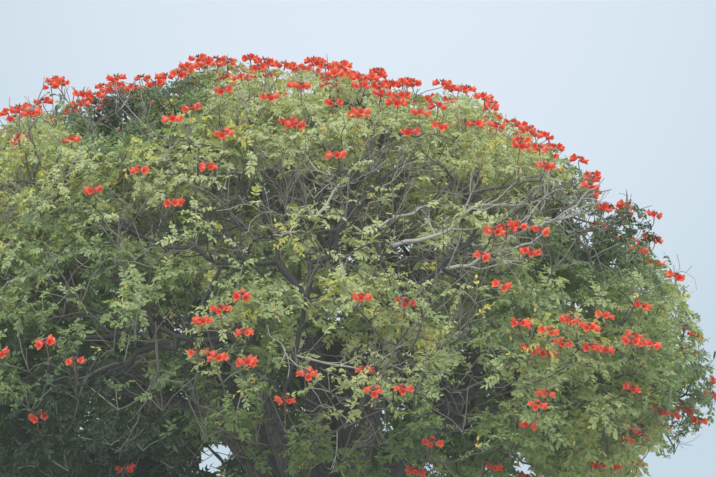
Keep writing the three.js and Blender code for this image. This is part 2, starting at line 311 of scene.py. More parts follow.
def leader_of(kind, azimuth, sizes, ways, roll):
    curve = swaying_curve(*ways, sizes.sway, roll)
    return Sizes(kind=kind, azimuth=azimuth, curve=curve, radius=sizes.radius, tip=sizes.tip)


def mass_places():
    """The middle of each mass of foliage, and its way out of the crown."""
    masses = []
    for level, ring in enumerate(RINGS):
        for i in range(ring.count):
            roll = dice(SEEDS.mass + SEEDS.per_ring * level + i)
            turns = (i + stray(roll, MASS.stray)) / ring.count
            azimuth = math.radians(ring.turn + 360 * turns)
            outward = towards(azimuth, math.radians(ring.height + stray(roll, 2 * ring.stray)))
            skin = room(lambda p: crown_level(p) < 1, CROWN.middle, outward, 2 * CROWN.half_width)
            depth = MASS.depth * mix(*MASS.depths, roll())
            mass = Sizes(number=len(masses) + 1, carriers=ring.carriers, level=level)
            mass.azimuth = azimuth
            mass.outward = outward
            mass.middle = CROWN.middle + outward * (skin - depth)
            masses.append(mass)
    return masses


def angle_between(a, b):
    return abs(math.atan2(math.sin(a - b), math.cos(a - b)))


def carrier_of(mass, leaders):
    able = [leader for leader in leaders if leader.kind == mass.carriers]
    return min(able, key=lambda leader: angle_between(leader.azimuth, mass.azimuth))


def boughs_of(leader, masses):
    """The boughs of one leader. The lowest come first, and the highest goes on from its tip."""
    carried = sorted(masses, key=lambda mass: (-mass.level, mass.azimuth))
    boughs = []
    for order, mass in enumerate(carried):
        above = len(carried) - 1 - order
        is_last = above == 0
        share = 1.0 if is_last else BOUGH.last_start - BOUGH.apart * above
        start = leader.curve.point(share)
        straight = (mass.middle - start).normalized()
        leaving = leader.curve.tangent(share)
        if not is_last:
            leaving = mix(leaving, straight, BOUGH.straightness).normalized()
        end = mass.middle - straight * BOUGH.short * MASS.reach
        curve = swaying_curve(start, leaving, end, BOUGH.sway, dice(SEEDS.bough + mass.number))
        radius = leader.tip if is_last else BOUGH.radius
        boughs.append(Sizes(mass=mass, curve=curve, radius=radius, tip=BOUGH.tip))
    return boughs


def space_of(mass, masses, level):
    """A mass keeps to what is nearer to its middle than to any other's, within reach and crown."""
    others = [
        (other.middle, 2 * (other.middle - mass.middle).length)
        for other in masses
        if other is not mass
    ]

    def is_inside(point):
        own = (point - mass.middle).length_squared
        if own > MASS.reach**2 or crown_level(point) > level:
            return False
        return all(
            (point - middle).length_squared - own > MASS.margin * twice for middle, twice in others
        )

    return is_inside


@cache
def limbs():
    """The leaders, the masses and the boughs of the tree."""
    leaders = [centre_leader(i) for i in range(len(CENTRE_LEADERS))]
    leaders += [side_leader(i) for i in range(SIDE_LEADERS)]
    masses = mass_places()
    boughs = []
    for leader in leaders:
        boughs += boughs_of(leader, [m for m in masses if carrier_of(m, leaders) is leader])
    return Sizes(leaders=leaders, masses=masses, boughs=boughs)


# The finer twigs, which the part leaves to this script

# Hollows in the skin of leaves and flowers, by where they are seen from the front. A swelling is
# a hollow of negative depth.
HOLLOWS = table(
    "x z reach depth",
    (-5.0, 9.6, 0.5, 0.12), (-4.1, 9.8, 0.35, -0.2), (-3.6, 10.1, 0.55, 0.52),
    (-2.7, 10.2, 0.45, 0.72), (-1.4, 10.4, 0.35, -0.12), (-0.75, 10.4, 0.5, 0.12),
    (0.75, 10.2, 0.45, 0.28), (1.5, 10.0, 0.45, 0.5), (2.4, 9.7, 0.4, -0.1),
    (3.35, 9.4, 0.4, 0.36), (3.85, 9.0, 0.4, 0.1), (4.4, 8.5, 0.4, 0.5), (4.65, 8.1, 0.3, 0.1),
    (5.1, 7.9, 0.4, -0.2), (6.1, 6.7, 0.6, 0.0), (5.6, 3.5, 0.75, 1.1), (-4.2, 3.2, 2.0, -2.0),
)
# Lumps all over the crown: their height, their size in turns for each metre, and how much of
# the skin they raise
LUMPS = Sizes(height=0.14, size=0.9, share=0.4)
CLUMP = Sizes(
    outermost=0.95,  # the crown's level of a clump's foot
    flatness=1.35,  # how much closer clumps may stand one above another than side by side
    tries=2600, from_limbs=0.3,
    patches=Vector((0.65, 0.65, 1.5)),  # the crown's layers and gaps, in turns for each metre
    swelling=1.35,  # how far out of the crown clumps may stand at its swellings
    rise=0.9,
    outward=0.4,  # how much a clump faces the way of its mass
    foot=0.12, seed=5000, branch_seed=5100, shoot_seed=5900,
)
# The innermost level of clumps, the share that it keeps, and the patch noise under which a clump
# is left out: on the front, behind, and in the middle of the front, where they close the view
FRONT_CLUMPS = Sizes(innermost=0.7, share=0.4, gaps=-0.4)
BACK_CLUMPS = Sizes(innermost=0.62, share=1.0, gaps=-0.8)
BACKING = Sizes(
    middle=(0.1, 0, 7.2), reach=(3.4, 0, 1.6), within=0.5, innermost=0.48, share=0.9, gaps=-0.4
)
# Seen from the front, leaves are few here, most of all in front of the limbs, and bare branches
# show. The middle and the reach are in metres on the plane of the trunk.
EYE = Vector((0.53, -60, 1.6))
STEEPNESS = 4
WINDOWS = table(
    "middle reach anywhere over_limbs",
    ((0.2, 0, 7.3), (2.8, 0, 1.35), 0.3, 0.95),
    ((0.4, 0, 4.6), (2.4, 0, 0.9), 0.1, 0.75),
    ((-2.4, 0, 7.5), (1.1, 0, 0.7), 0.35, 0.9),
    ((-2.6, 0, 5.6), (1.3, 0, 0.9), 0.2, 0.8),
    ((3.7, 0, 7.75), (1.7, 0, 0.8), 0.65, 0.9),
    ((-3.4, 0, 9.4), (0.7, 0, 0.3), 0.6, 0.9),
)
OVER_LIMB = Sizes(width=0.35, depth=0.3, thickest=0.14, hidden_above=5.1)
# Living limbs that cross the front of the crown, thick end first, by where they are seen
SHOWN = Sizes(
    level=0.87, width=0.34, depth=-0.1, bare=0.85, crook=0.02, step=0.1, seed=5500,
    living_seed=5501, dead_seed=5502,
)
SHOWN_LIMBS = table(
    "radius tip way",
    (0.06, 0.016, ((-2.1, 5.75), (-2.54, 5.92), (-3.06, 6.08), (-3.42, 6.19), (-3.9, 6.3),
     (-4.3, 6.5))),
    (0.05, 0.014, ((-2.4, 5.66), (-2.75, 5.68), (-3.0, 5.58), (-3.1, 5.42), (-3.55, 5.2),
     (-4.1, 5.02))),
    (0.045, 0.014, ((-3.2, 5.9), (-3.55, 5.84), (-4.0, 5.8), (-4.3, 5.76), (-4.6, 5.65),
     (-5.1, 5.66))),
    (0.045, 0.014, ((-1.66, 6.99), (-1.9, 7.1), (-1.95, 7.17), (-2.1, 7.31), (-2.26, 7.25),
     (-2.48, 7.26), (-2.9, 7.44), (-3.26, 7.62), (-3.52, 7.68))),
    (0.025, 0.009, ((-2.1, 7.31), (-2.11, 7.5), (-2.26, 7.49), (-2.56, 7.55), (-2.74, 7.65),
     (-2.96, 7.9))),
    (0.016, 0.008, ((-2.56, 7.57), (-2.61, 7.74), (-2.62, 7.95))),
    (0.042, 0.014, ((-1.25, 7.04), (-1.36, 7.12), (-1.44, 7.18), (-1.49, 7.33), (-1.6, 7.46),
     (-1.76, 7.49), (-1.79, 7.57), (-1.92, 7.68), (-2.06, 7.81), (-2.11, 7.95), (-2.18, 8.06),
     (-2.32, 8.1))),
    (0.016, 0.009, ((-1.54, 7.44), (-1.66, 7.7), (-1.87, 7.95), (-2.0, 8.03))),
    (0.045, 0.012, ((-0.77, 7.02), (-0.77, 7.26), (-0.58, 7.46), (-0.77, 7.7), (-0.91, 7.82),
     (-1.02, 7.89), (-1.23, 8.03), (-1.34, 8.19), (-1.47, 8.34), (-1.44, 8.59))),
    (0.024, 0.016, ((-1.28, 7.65), (-1.49, 7.7), (-1.65, 7.76), (-1.65, 7.95), (-1.66, 8.14),
     (-1.6, 8.21), (-1.47, 8.34))),
    (0.02, 0.01, ((-0.98, 7.7), (-0.99, 7.87), (-1.01, 8.26))),
    (0.032, 0.009, ((-0.72, 7.36), (-0.59, 7.49), (-0.45, 7.68), (-0.29, 7.87), (-0.14, 7.95),
     (-0.08, 8.13), (-0.02, 8.22), (0.13, 8.35), (0.26, 8.46), (0.48, 8.59), (0.66, 8.72),
     (0.86, 8.83), (0.99, 8.91))),
    (0.058, 0.012, ((-0.26, 6.43), (-0.24, 6.8), (-0.24, 7.02), (0.0, 7.07), (0.14, 7.17),
     (0.18, 7.33), (0.21, 7.52), (0.3, 7.74), (0.4, 7.89), (0.56, 8.03), (0.74, 8.21),
     (0.91, 8.35), (0.99, 8.46), (1.17, 8.53), (1.3, 8.64), (1.5, 8.72))),
    (0.018, 0.008, ((0.0, 7.07), (0.24, 7.17), (0.48, 7.23), (0.67, 7.33), (0.96, 7.34))),
    (0.032, 0.014, ((-0.24, 7.02), (-0.34, 7.17), (-0.46, 7.33), (-0.54, 7.49), (-0.72, 7.65))),
    (0.016, 0.01, ((-0.19, 7.15), (-0.02, 7.3), (0.1, 7.44), (0.14, 7.62))),
    (0.034, 0.01, ((1.15, 6.46), (1.18, 6.8), (1.18, 7.14), (1.06, 7.3), (0.98, 7.39),
     (0.85, 7.58))),
    (0.018, 0.01, ((1.15, 6.51), (1.04, 6.8), (0.94, 7.02), (0.86, 7.09))),
    (0.045, 0.015, ((1.01, 6.34), (1.17, 6.45), (1.42, 6.62), (1.63, 6.75), (1.86, 6.93),
     (2.02, 7.12), (2.24, 7.26), (2.37, 7.33), (2.64, 7.34))),
    (0.036, 0.02, ((2.24, 6.72), (2.24, 7.04), (2.22, 7.26), (2.32, 7.42), (2.45, 7.58))),
    (0.045, 0.02, ((-0.67, 4.86), (-0.74, 4.99), (-0.86, 5.17), (-1.09, 5.34), (-1.26, 5.44))),
)
# Long dead limbs that show on the front in the same way
DEAD_FRONT_LIMBS = table(
    "radius tip way",
    (0.036, 0.009, ((1.82, 6.86), (2.13, 6.99), (2.3, 6.99), (2.53, 7.12), (2.88, 7.23),
     (3.31, 7.34), (3.57, 7.54))),
    (0.032, 0.008, ((1.28, 7.39), (1.76, 7.46), (2.02, 7.57), (2.13, 7.74), (2.45, 7.97),
     (3.25, 7.97), (3.68, 8.11))),
    (0.03, 0.008, ((2.3, 7.28), (2.6, 7.35), (2.88, 7.57), (3.31, 7.6), (3.76, 7.74),
     (4.19, 7.94))),
    (0.022, 0.008, ((1.18, 7.79), (1.42, 7.82), (1.65, 7.97), (1.9, 8.05))),
    (0.026, 0.008, ((-0.18, 7.7), (0.0, 7.95), (0.22, 8.29), (0.5, 8.59), (0.74, 8.74),
     (0.99, 8.93))),
    (0.018, 0.007, ((0.29, 8.42), (0.0, 8.46), (-0.21, 8.59), (-0.37, 8.83))),
    (0.016, 0.006, ((0.59, 5.31), (1.22, 5.68), (1.82, 5.76), (2.3, 5.97))),
)
# Holes through which the sky shows, with their ragged edges
PEEPHOLES = table(
    "x z reach",
    (-1.76, 4.03, 0.26), (0.4, 7.14, 0.12), (0.1, 7.27, 0.09), (1.32, 7.3, 0.1), (1.65, 3.8, 0.1),
    (2.6, 3.72, 0.09), (3.2, 3.78, 0.12), (3.55, 3.66, 0.1), (4.25, 7.45, 0.13), (4.6, 7.1, 0.1),
    (3.75, 7.8, 0.1), (4.75, 7.6, 0.09),
)
RAGGED = Sizes(depth=0.9, size=3.0)
BRANCH = Sizes(
    span=0.17, crook=0.05, tip=0.0115, pointed=0.8, growth=0.43, turning=0.55, follow=0.8,
    children=2, shortest=1e-3, leaving=0.45, arriving=0.3,
)
SHOOT = Sizes(
    length=0.2, stray=0.1, widest=78, first=0.35, openings=(0.8, 1.1), points=3, radius=0.007,
    foot=1.3,  # its section there, as a share of the radius
    lift=0.05, bow=0.25, bare_growth=1.5,
)
# How far a shoot's leaves face along the shoot, out of the clump and up
SHOOT_AXIS = Sizes(own=0.7, clump=0.5, up=0.35)
LEAF = Sizes(
    youngest=34, oldest=98, opening_stray=16, least_size=0.72, internode=0.018, size_stray=0.22,
    roll=0.9, levelling=0.5, skin=0.975,
    bare_count=2.2,  # up to this many leaves on a bare shoot
    shaded=0.92,  # the level of the crown under which leaves are the plain kinds
    inner=0.9,  # the level under which leaves at the back are the broad kinds
    outer_kinds=6,
    shaped_kinds=2,  # of the outer kinds
    plain_kinds=3, broad_kinds=2, scrap_kinds=2,
)
# Points down each limb, whose bark starts so far from that of the limb before it
SAMPLES = Sizes(spacing=0.05, least=4, apart=7.3)


class Branch:
    """A chain of points that starts on its parent and carries shoots at its tip."""

    def __init__(self, points, parent=None, joint=0):
        self.points = points
        self.parent = parent
        self.joint = joint
        self.children = [0] * len(points)

    def direction(self, index):
        before = self.points[max(0, index - 1)]
        after = self.points[min(len(self.points) - 1, index + 1)]
        return (after - before).normalized()


def crooked(start, leaving, end, arriving, crook, roll):
    """Points from start to end on a bent way with kinks, about one span apart."""
    reach = (end - start).length
    first = start + leaving * BRANCH.leaving * reach
    second = end - arriving * BRANCH.arriving * reach
    count = max(2, round(reach / BRANCH.span))
    points = []
    for i in range(count + 1):
        share = i / count
        inner = mix(first, second, share)
        point = mix(
            mix(mix(start, first, share), inner, share),
            mix(inner, mix(second, end, share), share),
            share,
        )
        if 0 < i < count:
            point += jolt(roll) * crook * min(reach, 1.0)
        points.append(point)
    return points


def first_branches(bough, masses, roll):
    """The stem of a mass and its twigs, which end on a golden spiral that faces outwards."""
    mass = bough.mass
    tangent = bough.curve.tangent(1.0)
    start = bough.curve.point(1.0)
    end = mass.middle + mass.outward * STEM.beyond * MASS.reach
    curve = Bend(start, start + tangent * STEM.leaving * (end - start).length, end)
    last = STEM.points - 1
    stem = Branch([curve.point(i / last) for i in range(STEM.points)])
    branches = [stem]
    facing = (mass.outward + UP * TWIG.rise).normalized()
    seed = SEEDS.twig + SEEDS.per_mass * mass.number
    turn = 2 * math.pi * dice(seed)()
    widest = math.radians(TWIG.widest)
    is_inside = space_of(mass, masses, 1.0)
    for i in range(TWIG.count):
        opening = math.acos(1 - (i + 0.5) / TWIG.count * (1 - math.cos(widest)))
        outward = leaning(facing, opening, turn + i * GOLDEN_TURN)
        reach = TWIG.reach * room(is_inside, mass.middle, outward, MASS.reach)
        joint = round(last * mix(1, TWIG.lowest, opening / widest))
        tip = mass.middle + outward * reach * (1 + stray(dice(seed + 1 + i), TWIG.stray))
        points = crooked(
            stem.points[joint], stem.direction(joint), tip, outward, BRANCH.crook, roll
        )
        branches.append(Branch(points, stem, joint))
    return branches


def seen_at(point):
    """Where a point is seen on the plane of the trunk. Its Y is left out."""
    way = point - EYE
    seen = EYE + way * (-EYE.y / way.y)
    seen.y = 0
    return seen


def in_peephole(point):
    seen = seen_at(point)
    ragged = 1 + RAGGED.depth * noise.noise(seen * RAGGED.size)
    return any(
        math.hypot(seen.x - hole.x, seen.z - hole.z) < hole.reach * ragged for hole in PEEPHOLES
    )


def leafy_room(start, direction, most, skin):
    """How far one can go from a point before passing a level of the leaves."""
    return room(lambda point: leafy_level(point) < skin, start, direction, most)


def forking(axis, openings, roll):
    """A direction that leaves an axis at some opening in degrees, to any side."""
    return leaning(axis, math.radians(mix(*openings, roll())), any_turn(roll))


def leafy_level(point):
    """1 on the skin of the leaves and flowers, which has hollows, and less inside it."""
    hollow = LUMPS.height * max(0.0, LUMPS.share + noise.noise(point * LUMPS.size))
    for place in HOLLOWS:
        away = (point.x - place.x) ** 2 + (point.z - place.z) ** 2
        hollow += place.depth * math.exp(-away / place.reach**2)
    level = crown_level(point) / (1 - hollow / CROWN.rise)
    away = point - CROWN.middle
    return max(level, abs(away.x) / CROWN.half_width, abs(away.y) / CROWN.half_depth)


def hides(point, seen, limbs_seen, over):
    """Whether a clump at a point would hide a limb from the front."""
    near = limbs_seen.points.find_range(seen, over.width)
    return any(limbs_seen.depths[index] > point.y + over.depth for _, index, _ in near)


def share_within(region, seen):
    """1 in the middle of a region and 0 outside it, with a steep edge between."""
    away = seen - Vector(region.middle)
    reach = Vector(region.reach)
    return math.exp(-((away.x / reach.x) ** STEEPNESS) - (away.z / reach.z) ** STEEPNESS)


def bareness(point, limbs_around):
    """The share of clumps that carry hardly any leaves here."""
    if point.y > 0:
        return 0.0
    seen = seen_at(point)
    if hides(point, seen, limbs_around.shown, SHOWN):
        return SHOWN.bare
    hides_thick = hides(point, seen, limbs_around.thick, OVER_LIMB)
    if hides_thick and seen.z > OVER_LIMB.hidden_above:
        return 0.0
    hides_limb = hides_thick or hides(point, seen, limbs_around.thin, OVER_LIMB)
    most = 0.0
    for window in WINDOWS:
        share = share_within(window, seen)
        most = max(most, share * (window.over_limbs if hides_limb else window.anywhere))
    return most


def clump_places(mass, masses, taken, limbs_around, spacing):
    """Places for clumps of leaves in the crown's outer shell, each clear of those before it."""
    roll = dice(CLUMP.seed + mass.number)
    is_inside = space_of(mass, masses, CLUMP.swelling)
    places = []
    for _ in range(CLUMP.tries):
        place = jolt(roll) * MASS.reach + mass.middle
        level = leafy_level(place)
        kept = roll()
        layer = BACK_CLUMPS
        if place.y < 0:
            is_backed = share_within(BACKING, seen_at(place)) > BACKING.within
            layer = BACKING if is_backed else FRONT_CLUMPS
        if not layer.innermost < level < CLUMP.outermost:
            continue
        depth = (CLUMP.outermost - level) / (CLUMP.outermost - layer.innermost)
        if kept > mix(1, layer.share, depth) or in_peephole(place):
            continue
        if noise.noise(place * CLUMP.patches) < layer.gaps or not is_inside(place):
            continue
        flat = Vector((place.x, place.y, place.z * CLUMP.flatness))
        if any((flat - other).length_squared < spacing**2 for other in taken):
            continue
        if limbs_around.all.find(place)[2] < CLUMP.from_limbs:
            continue
        taken.append(flat)
        places.append(place)
    return sorted(places, key=lambda place: (place - mass.middle).length)


def best_joint(branches, target):
    """The branch and the point on it from which a new branch reaches a target most simply."""
    best = None
    least = math.inf
    for branch in branches:
        for i in range(1, len(branch.points)):
            if branch.children[i] >= BRANCH.children:
                continue
            way = target - branch.points[i]
            length = way.length
            if length < BRANCH.shortest:
                continue
            turning = 1 - way.dot(branch.direction(i)) / length
            cost = length * (1 + BRANCH.turning * turning)
            if cost < least:
                least = cost
                best = (branch, i)
    return best


def axis_at(place, mass):
    """The way that a clump faces: out of the crown, and up."""
    outward = (place - CROWN.middle).normalized()
    return (outward + mass.outward * CLUMP.outward + UP * CLUMP.rise).normalized()


def grow_mass(bough, masses, taken, limbs_around, spacing):
    """The branches of one mass, and the clump that each one carries at its tip."""
    mass = bough.mass
    roll = dice(CLUMP.branch_seed + mass.number)
    branches = first_branches(bough, masses, roll)
    clumps = []
    for place in clump_places(mass, masses, taken, limbs_around, spacing):
        axis = axis_at(place, mass)
        foot = place - axis * CLUMP.foot
        parent, joint = best_joint(branches, foot)
        way = (foot - parent.points[joint]).normalized()
        leaving = (way + parent.direction(joint) * BRANCH.follow).normalized()
        arriving = (way + axis).normalized()
        points = crooked(parent.points[joint], leaving, foot, arriving, BRANCH.crook, roll)
        parent.children[joint] += 1
        branch = Branch(points, parent, joint)
        branches.append(branch)
        clumps.append(Sizes(foot=foot, axis=axis, place=place))
    for branch in branches[1 : 1 + TWIG.count]:
        tip = branch.points[-1]
        clumps.append(Sizes(foot=tip, axis=axis_at(tip, mass), place=tip))
    return branches, clumps


def thicken(branches):
    """A branch's section grows with the clumps that it carries beyond each of its points."""
    for branch in branches:
        branch.loads = [1] * len(branch.points)
    for branch in reversed(branches):
        if branch.parent is not None:
            for i in range(branch.joint + 1):
                branch.parent.loads[i] += branch.loads[0]
    for branch in branches:
        branch.radii = [BRANCH.tip * load**BRANCH.growth for load in branch.loads]
        branch.radii[-1] *= BRANCH.pointed


def shoots_of(clump, count, roll):
    """The short shoots of a clump, fanned out round its axis. Bare ones are longer."""
    turn = any_turn(roll)
    growth_factor = SHOOT.bare_growth if clump.is_bare else 1.0
    shoots = []
    for i in range(count):
        opening = math.radians(SHOOT.widest) * math.sqrt((i + SHOOT.first) / count)
        opening *= mix(*SHOOT.openings, roll())
        direction = leaning(clump.axis, opening, turn + i * GOLDEN_TURN)
        length = (SHOOT.length * (1 + opening) + stray(roll, SHOOT.stray)) * growth_factor
        length = leafy_room(clump.foot, direction, length, LEAF.skin)
        tip = clump.foot + direction * length + UP * SHOOT.lift * length / SHOOT.length
        bend = Bend(clump.foot, clump.foot + (clump.axis + direction) * SHOOT.bow * length, tip)
        last = SHOOT.points - 1
        points = [bend.point(k / last) for k in range(SHOOT.points)]
        axis = direction * SHOOT_AXIS.own + clump.axis * SHOOT_AXIS.clump + UP * SHOOT_AXIS.up
        shoots.append(Sizes(points=points, tip=tip, axis=axis.normalized(), clump=clump))
    return shoots


def spot(place, heading, facing, size, kind=0, age=0.0):
    """Where a leaf, flower, bud or pod is scattered, and how."""
    return Sizes(place=place, heading=heading, facing=facing, size=size, kind=kind, age=age)


def leaves_of(shoot, count, reach, roll):
    """The leaves of a shoot: the youngest are the most upright, and the oldest hang out lowest."""
    turn = any_turn(roll)
    shoot_level = leafy_level(shoot.tip)
    leaves = []
    for i in range(count):
        age = (i + 0.5) / count
        opening = mix(LEAF.youngest, LEAF.oldest, age) + stray(roll, LEAF.opening_stray)
        heading = leaning(shoot.axis, math.radians(opening), turn + i * GOLDEN_TURN)
        root = shoot.tip - shoot.axis * LEAF.internode * i
        size = mix(LEAF.least_size, 1.0, math.sqrt(age)) * (1 + stray(roll, LEAF.size_stray))
        tip = root + heading * reach * size
        facing = (shoot.axis + UP * LEAF.levelling).normalized()
        facing += heading.cross(facing) * stray(roll, LEAF.roll)
        kind = int(LEAF.outer_kinds * roll())
        if shoot_level < LEAF.inner and root.y > 0:
            kind = LEAF.outer_kinds + LEAF.plain_kinds + kind % LEAF.broad_kinds
        elif shoot_level < LEAF.shaded:
            kind = LEAF.outer_kinds + kind % LEAF.plain_kinds
        if leafy_level(tip) > LEAF.skin or in_peephole(tip) or in_peephole(mix(root, tip, 0.5)):
            continue
        leaves.append(spot(root, heading, facing, size, kind, age))
    return leaves


def limb_samples():
    """Points down the middle of the trunk, the leaders and the boughs, each with its frame."""
    samples = []
    steps = round(TRUNK.top / SAMPLES.spacing)
    for i in range(steps + 1):
        z = TRUNK.top * i / steps
        middle = trunk_middle(z)
        samples.append(
            Sizes(middle=middle, along=UP, first=SIDEWAYS, length=z, radius=TRUNK.radius)
        )
    offset = 0.0
    for limb in (*limbs().leaders, *limbs().boughs):
        offset += SAMPLES.apart
        before = limb.curve.point(0.0)
        reach = (limb.curve.point(1.0) - before).length
        steps = max(SAMPLES.least, round(reach / SAMPLES.spacing))
        first = across(limb.curve.tangent(0.0))[0]
        length = 0.0
        for i in range(steps + 1):
            sample = Sizes(middle=limb.curve.point(i / steps), along=limb.curve.tangent(i / steps))
            first = (first - sample.along * first.dot(sample.along)).normalized()
            length += (sample.middle - before).length
            before = sample.middle
            sample.first = first
            sample.length = offset + length
            sample.radius = mix(limb.radius, limb.tip, i / steps)
            samples.append(sample)
    return samples


def search_tree(places):
    """A search tree of places."""
    points = KDTree(len(places))
    for i, place in enumerate(places):
        points.insert(place, i)
    points.balance()
    return points


def limbs_seen_from_front(middles):
    """Where points of limbs are seen, to search, and how far back they are."""
    return Sizes(
        points=search_tree([seen_at(middle) for middle in middles]),
        depths=[middle.y for middle in middles],
    )


def on_front(seen, level):
    """The point on the front of a level of the crown that is seen at a place."""
    way = (seen - EYE).normalized()
    point = EYE + way * (-CROWN.half_depth - EYE.y) / way.y
    while crown_level(point) > level and point.y < 0:
        point += way * SHOWN.step
    return point


@cache
def shown_limbs():
    """The limbs that show on the front, as chains. Each starts on the nearest limb."""
    roll = dice(SHOWN.seed)
    feet = [sample.middle for sample in limb_samples()]
    chains = []
    for limb in (*SHOWN_LIMBS, *DEAD_FRONT_LIMBS):
        stops = [on_front(Vector((x, 0, z)), SHOWN.level) for x, z in limb.way]
        points = [min(feet, key=lambda foot: (foot - stops[0]).length)]
        for stop in stops:
            before = points[-1]
            steps = max(1, round((stop - before).length / BRANCH.span))
            for i in range(1, steps + 1):
                points.append(mix(before, stop, i / steps) + jolt(roll) * SHOWN.crook)
        radii = tapering(limb.radius, limb.tip, points)
        chains.append(Sizes(points=points, radii=radii, is_dead=limb in DEAD_FRONT_LIMBS))
        feet += points
    return chains


@cache
def growth(spacing, shoot_count, leaf_count, leaf_reach):
    """All that grows on the boughs: branches, clumps, shoots and leaves."""
    samples = limb_samples()
    thin = [sample.middle for sample in samples if sample.radius < OVER_LIMB.thickest]
    thick = [sample.middle for sample in samples if sample.radius >= OVER_LIMB.thickest]
    shown = [point for chain in shown_limbs() for point in chain.points]
    limbs_around = Sizes(
        all=search_tree([*thin, *thick]),
        thin=limbs_seen_from_front(thin),
        thick=limbs_seen_from_front(thick),
        shown=limbs_seen_from_front(shown),
    )
    grown = Sizes(branches=[], clumps=[], shoots=[])
    taken = []
    for bough in limbs().boughs:
        branches, clumps = grow_mass(bough, limbs().masses, taken, limbs_around, spacing)
        thicken(branches)
        grown.branches += branches
        grown.clumps += clumps
    roll = dice(CLUMP.shoot_seed)
    for clump in grown.clumps:
        clump.is_bare = roll() < bareness(clump.place, limbs_around)
        clump.shoots = shoots_of(clump, shoot_count + int(2 * roll()) - 1, roll)
        grown.shoots += clump.shoots
        for shoot in clump.shoots:
            count = int(LEAF.bare_count * roll()) if clump.is_bare else leaf_count
            shoot.leaves = leaves_of(shoot, count, leaf_reach, roll)
    return grown


def growth_from(settings):
    """What the crown's settings grow."""
    crown = settings.crown
    return growth(
        crown.clump_spacing, crown.shoots_per_clump, crown.leaves_per_shoot, settings.leaves.length
    )


# Node trees

NODE_SPACING = 220


def add(tree, kind, inputs=None, **settings):
    """A node with its settings and inputs, each a value or another node's socket."""
    node = tree.nodes.new(kind)
    node.location.x = NODE_SPACING * len(tree.nodes)
    for name, value in settings.items():
        setattr(node, name, value)
    for name, value in (inputs or {}).items():
        if isinstance(value, bpy.types.NodeSocket):
            tree.links.new(value, node.inputs[name])
        else:
            node.inputs[name].default_value = value
    return node


def out(tree, kind, inputs=None, **settings):
    """The first socket that a new node gives out."""
    node = add(tree, kind, inputs, **settings)
    return next(socket for socket in node.outputs if socket.enabled)


def socket_title(label):
    return label.replace("_", " ").capitalize()


def new_tree(name, **inputs):
    """A Geometry Nodes tree with a geometry input and others by name, and its input sockets."""
    tree = bpy.data.node_groups.new(name, "GeometryNodeTree")
    tree.interface.new_socket("Geometry", in_out="OUTPUT", socket_type="NodeSocketGeometry")
    for label, kind in {"geometry": "Geometry", **inputs}.items():
        title = socket_title(label)
        tree.interface.new_socket(title, in_out="INPUT", socket_type=f"NodeSocket{kind}")
    return tree, add(tree, "NodeGroupInput").outputs


def end_tree(tree, geometry, material, is_smooth):
    """The tree's last nodes: real geometry in place of instances, its shading and its material."""
    realized = out(tree, "GeometryNodeRealizeInstances", {"Geometry": geometry})
    smooth = {"Geometry": realized, "Shade Smooth": is_smooth}
    shaded = out(tree, "GeometryNodeSetShadeSmooth", smooth)
    finished = out(tree, "GeometryNodeSetMaterial", {"Geometry": shaded, "Material": material})
    add(tree, "NodeGroupOutput", {"Geometry": finished})


def math_of(tree, operation, *values):
    return out(tree, "ShaderNodeMath", dict(enumerate(values)), operation=operation)


def product(tree, first, second):
    return math_of(tree, "MULTIPLY", first, second)


def vector_of(tree, operation, *values):
    return out(tree, "ShaderNodeVectorMath", dict(enumerate(values)), operation=operation)


def vector_from(tree, **parts):
    """A vector from its X, Y and Z. Those not given are 0."""
    return out(tree, "ShaderNodeCombineXYZ", parts)


def scaled(tree, vector, factor):
    inputs = {"Vector": vector, "Scale": factor}
    return out(tree, "ShaderNodeVectorMath", inputs, operation="SCALE")


def attribute(tree, name, kind="FLOAT"):
    return out(tree, "GeometryNodeInputNamedAttribute", {"Name": name}, data_type=kind)


def turned_to(tree, heading, facing):
    """The rotation that turns X to a heading, and Z as near as it can to a facing."""
    axes = {"Primary Axis": heading, "Secondary Axis": facing}
    return out(tree, "FunctionNodeAxesToRotation", axes, primary_axis="X", secondary_axis="Z")


@cache
def tube_tree():
    """Round tubes along chains of edges, as thick as the points' thickness says."""
    tree, inputs = new_tree("Tubes", sides="Int", thickening="Float", material="Material")
    thickness = product(tree, attribute(tree, "thickness"), inputs["Thickening"])
    curve = out(tree, "GeometryNodeMeshToCurve", {"Mesh": inputs["Geometry"]})
    section = {"Resolution": inputs["Sides"], "Radius": 1.0}
    circle = out(tree, "GeometryNodeCurvePrimitiveCircle", section)
    tube = {"Curve": curve, "Profile Curve": circle, "Scale": thickness, "Fill Caps": True}
    end_tree(tree, out(tree, "GeometryNodeCurveToMesh", tube), inputs["Material"], True)
    return tree


# A feathery leaf: how far its stalk goes before it arches, and how the length of its leaflets
# swells along it
FEATHER = Sizes(arch=0.55, turn=2.3, start=0.35, swell=0.36, least=0.68, bare=0.2, sag=0.3)


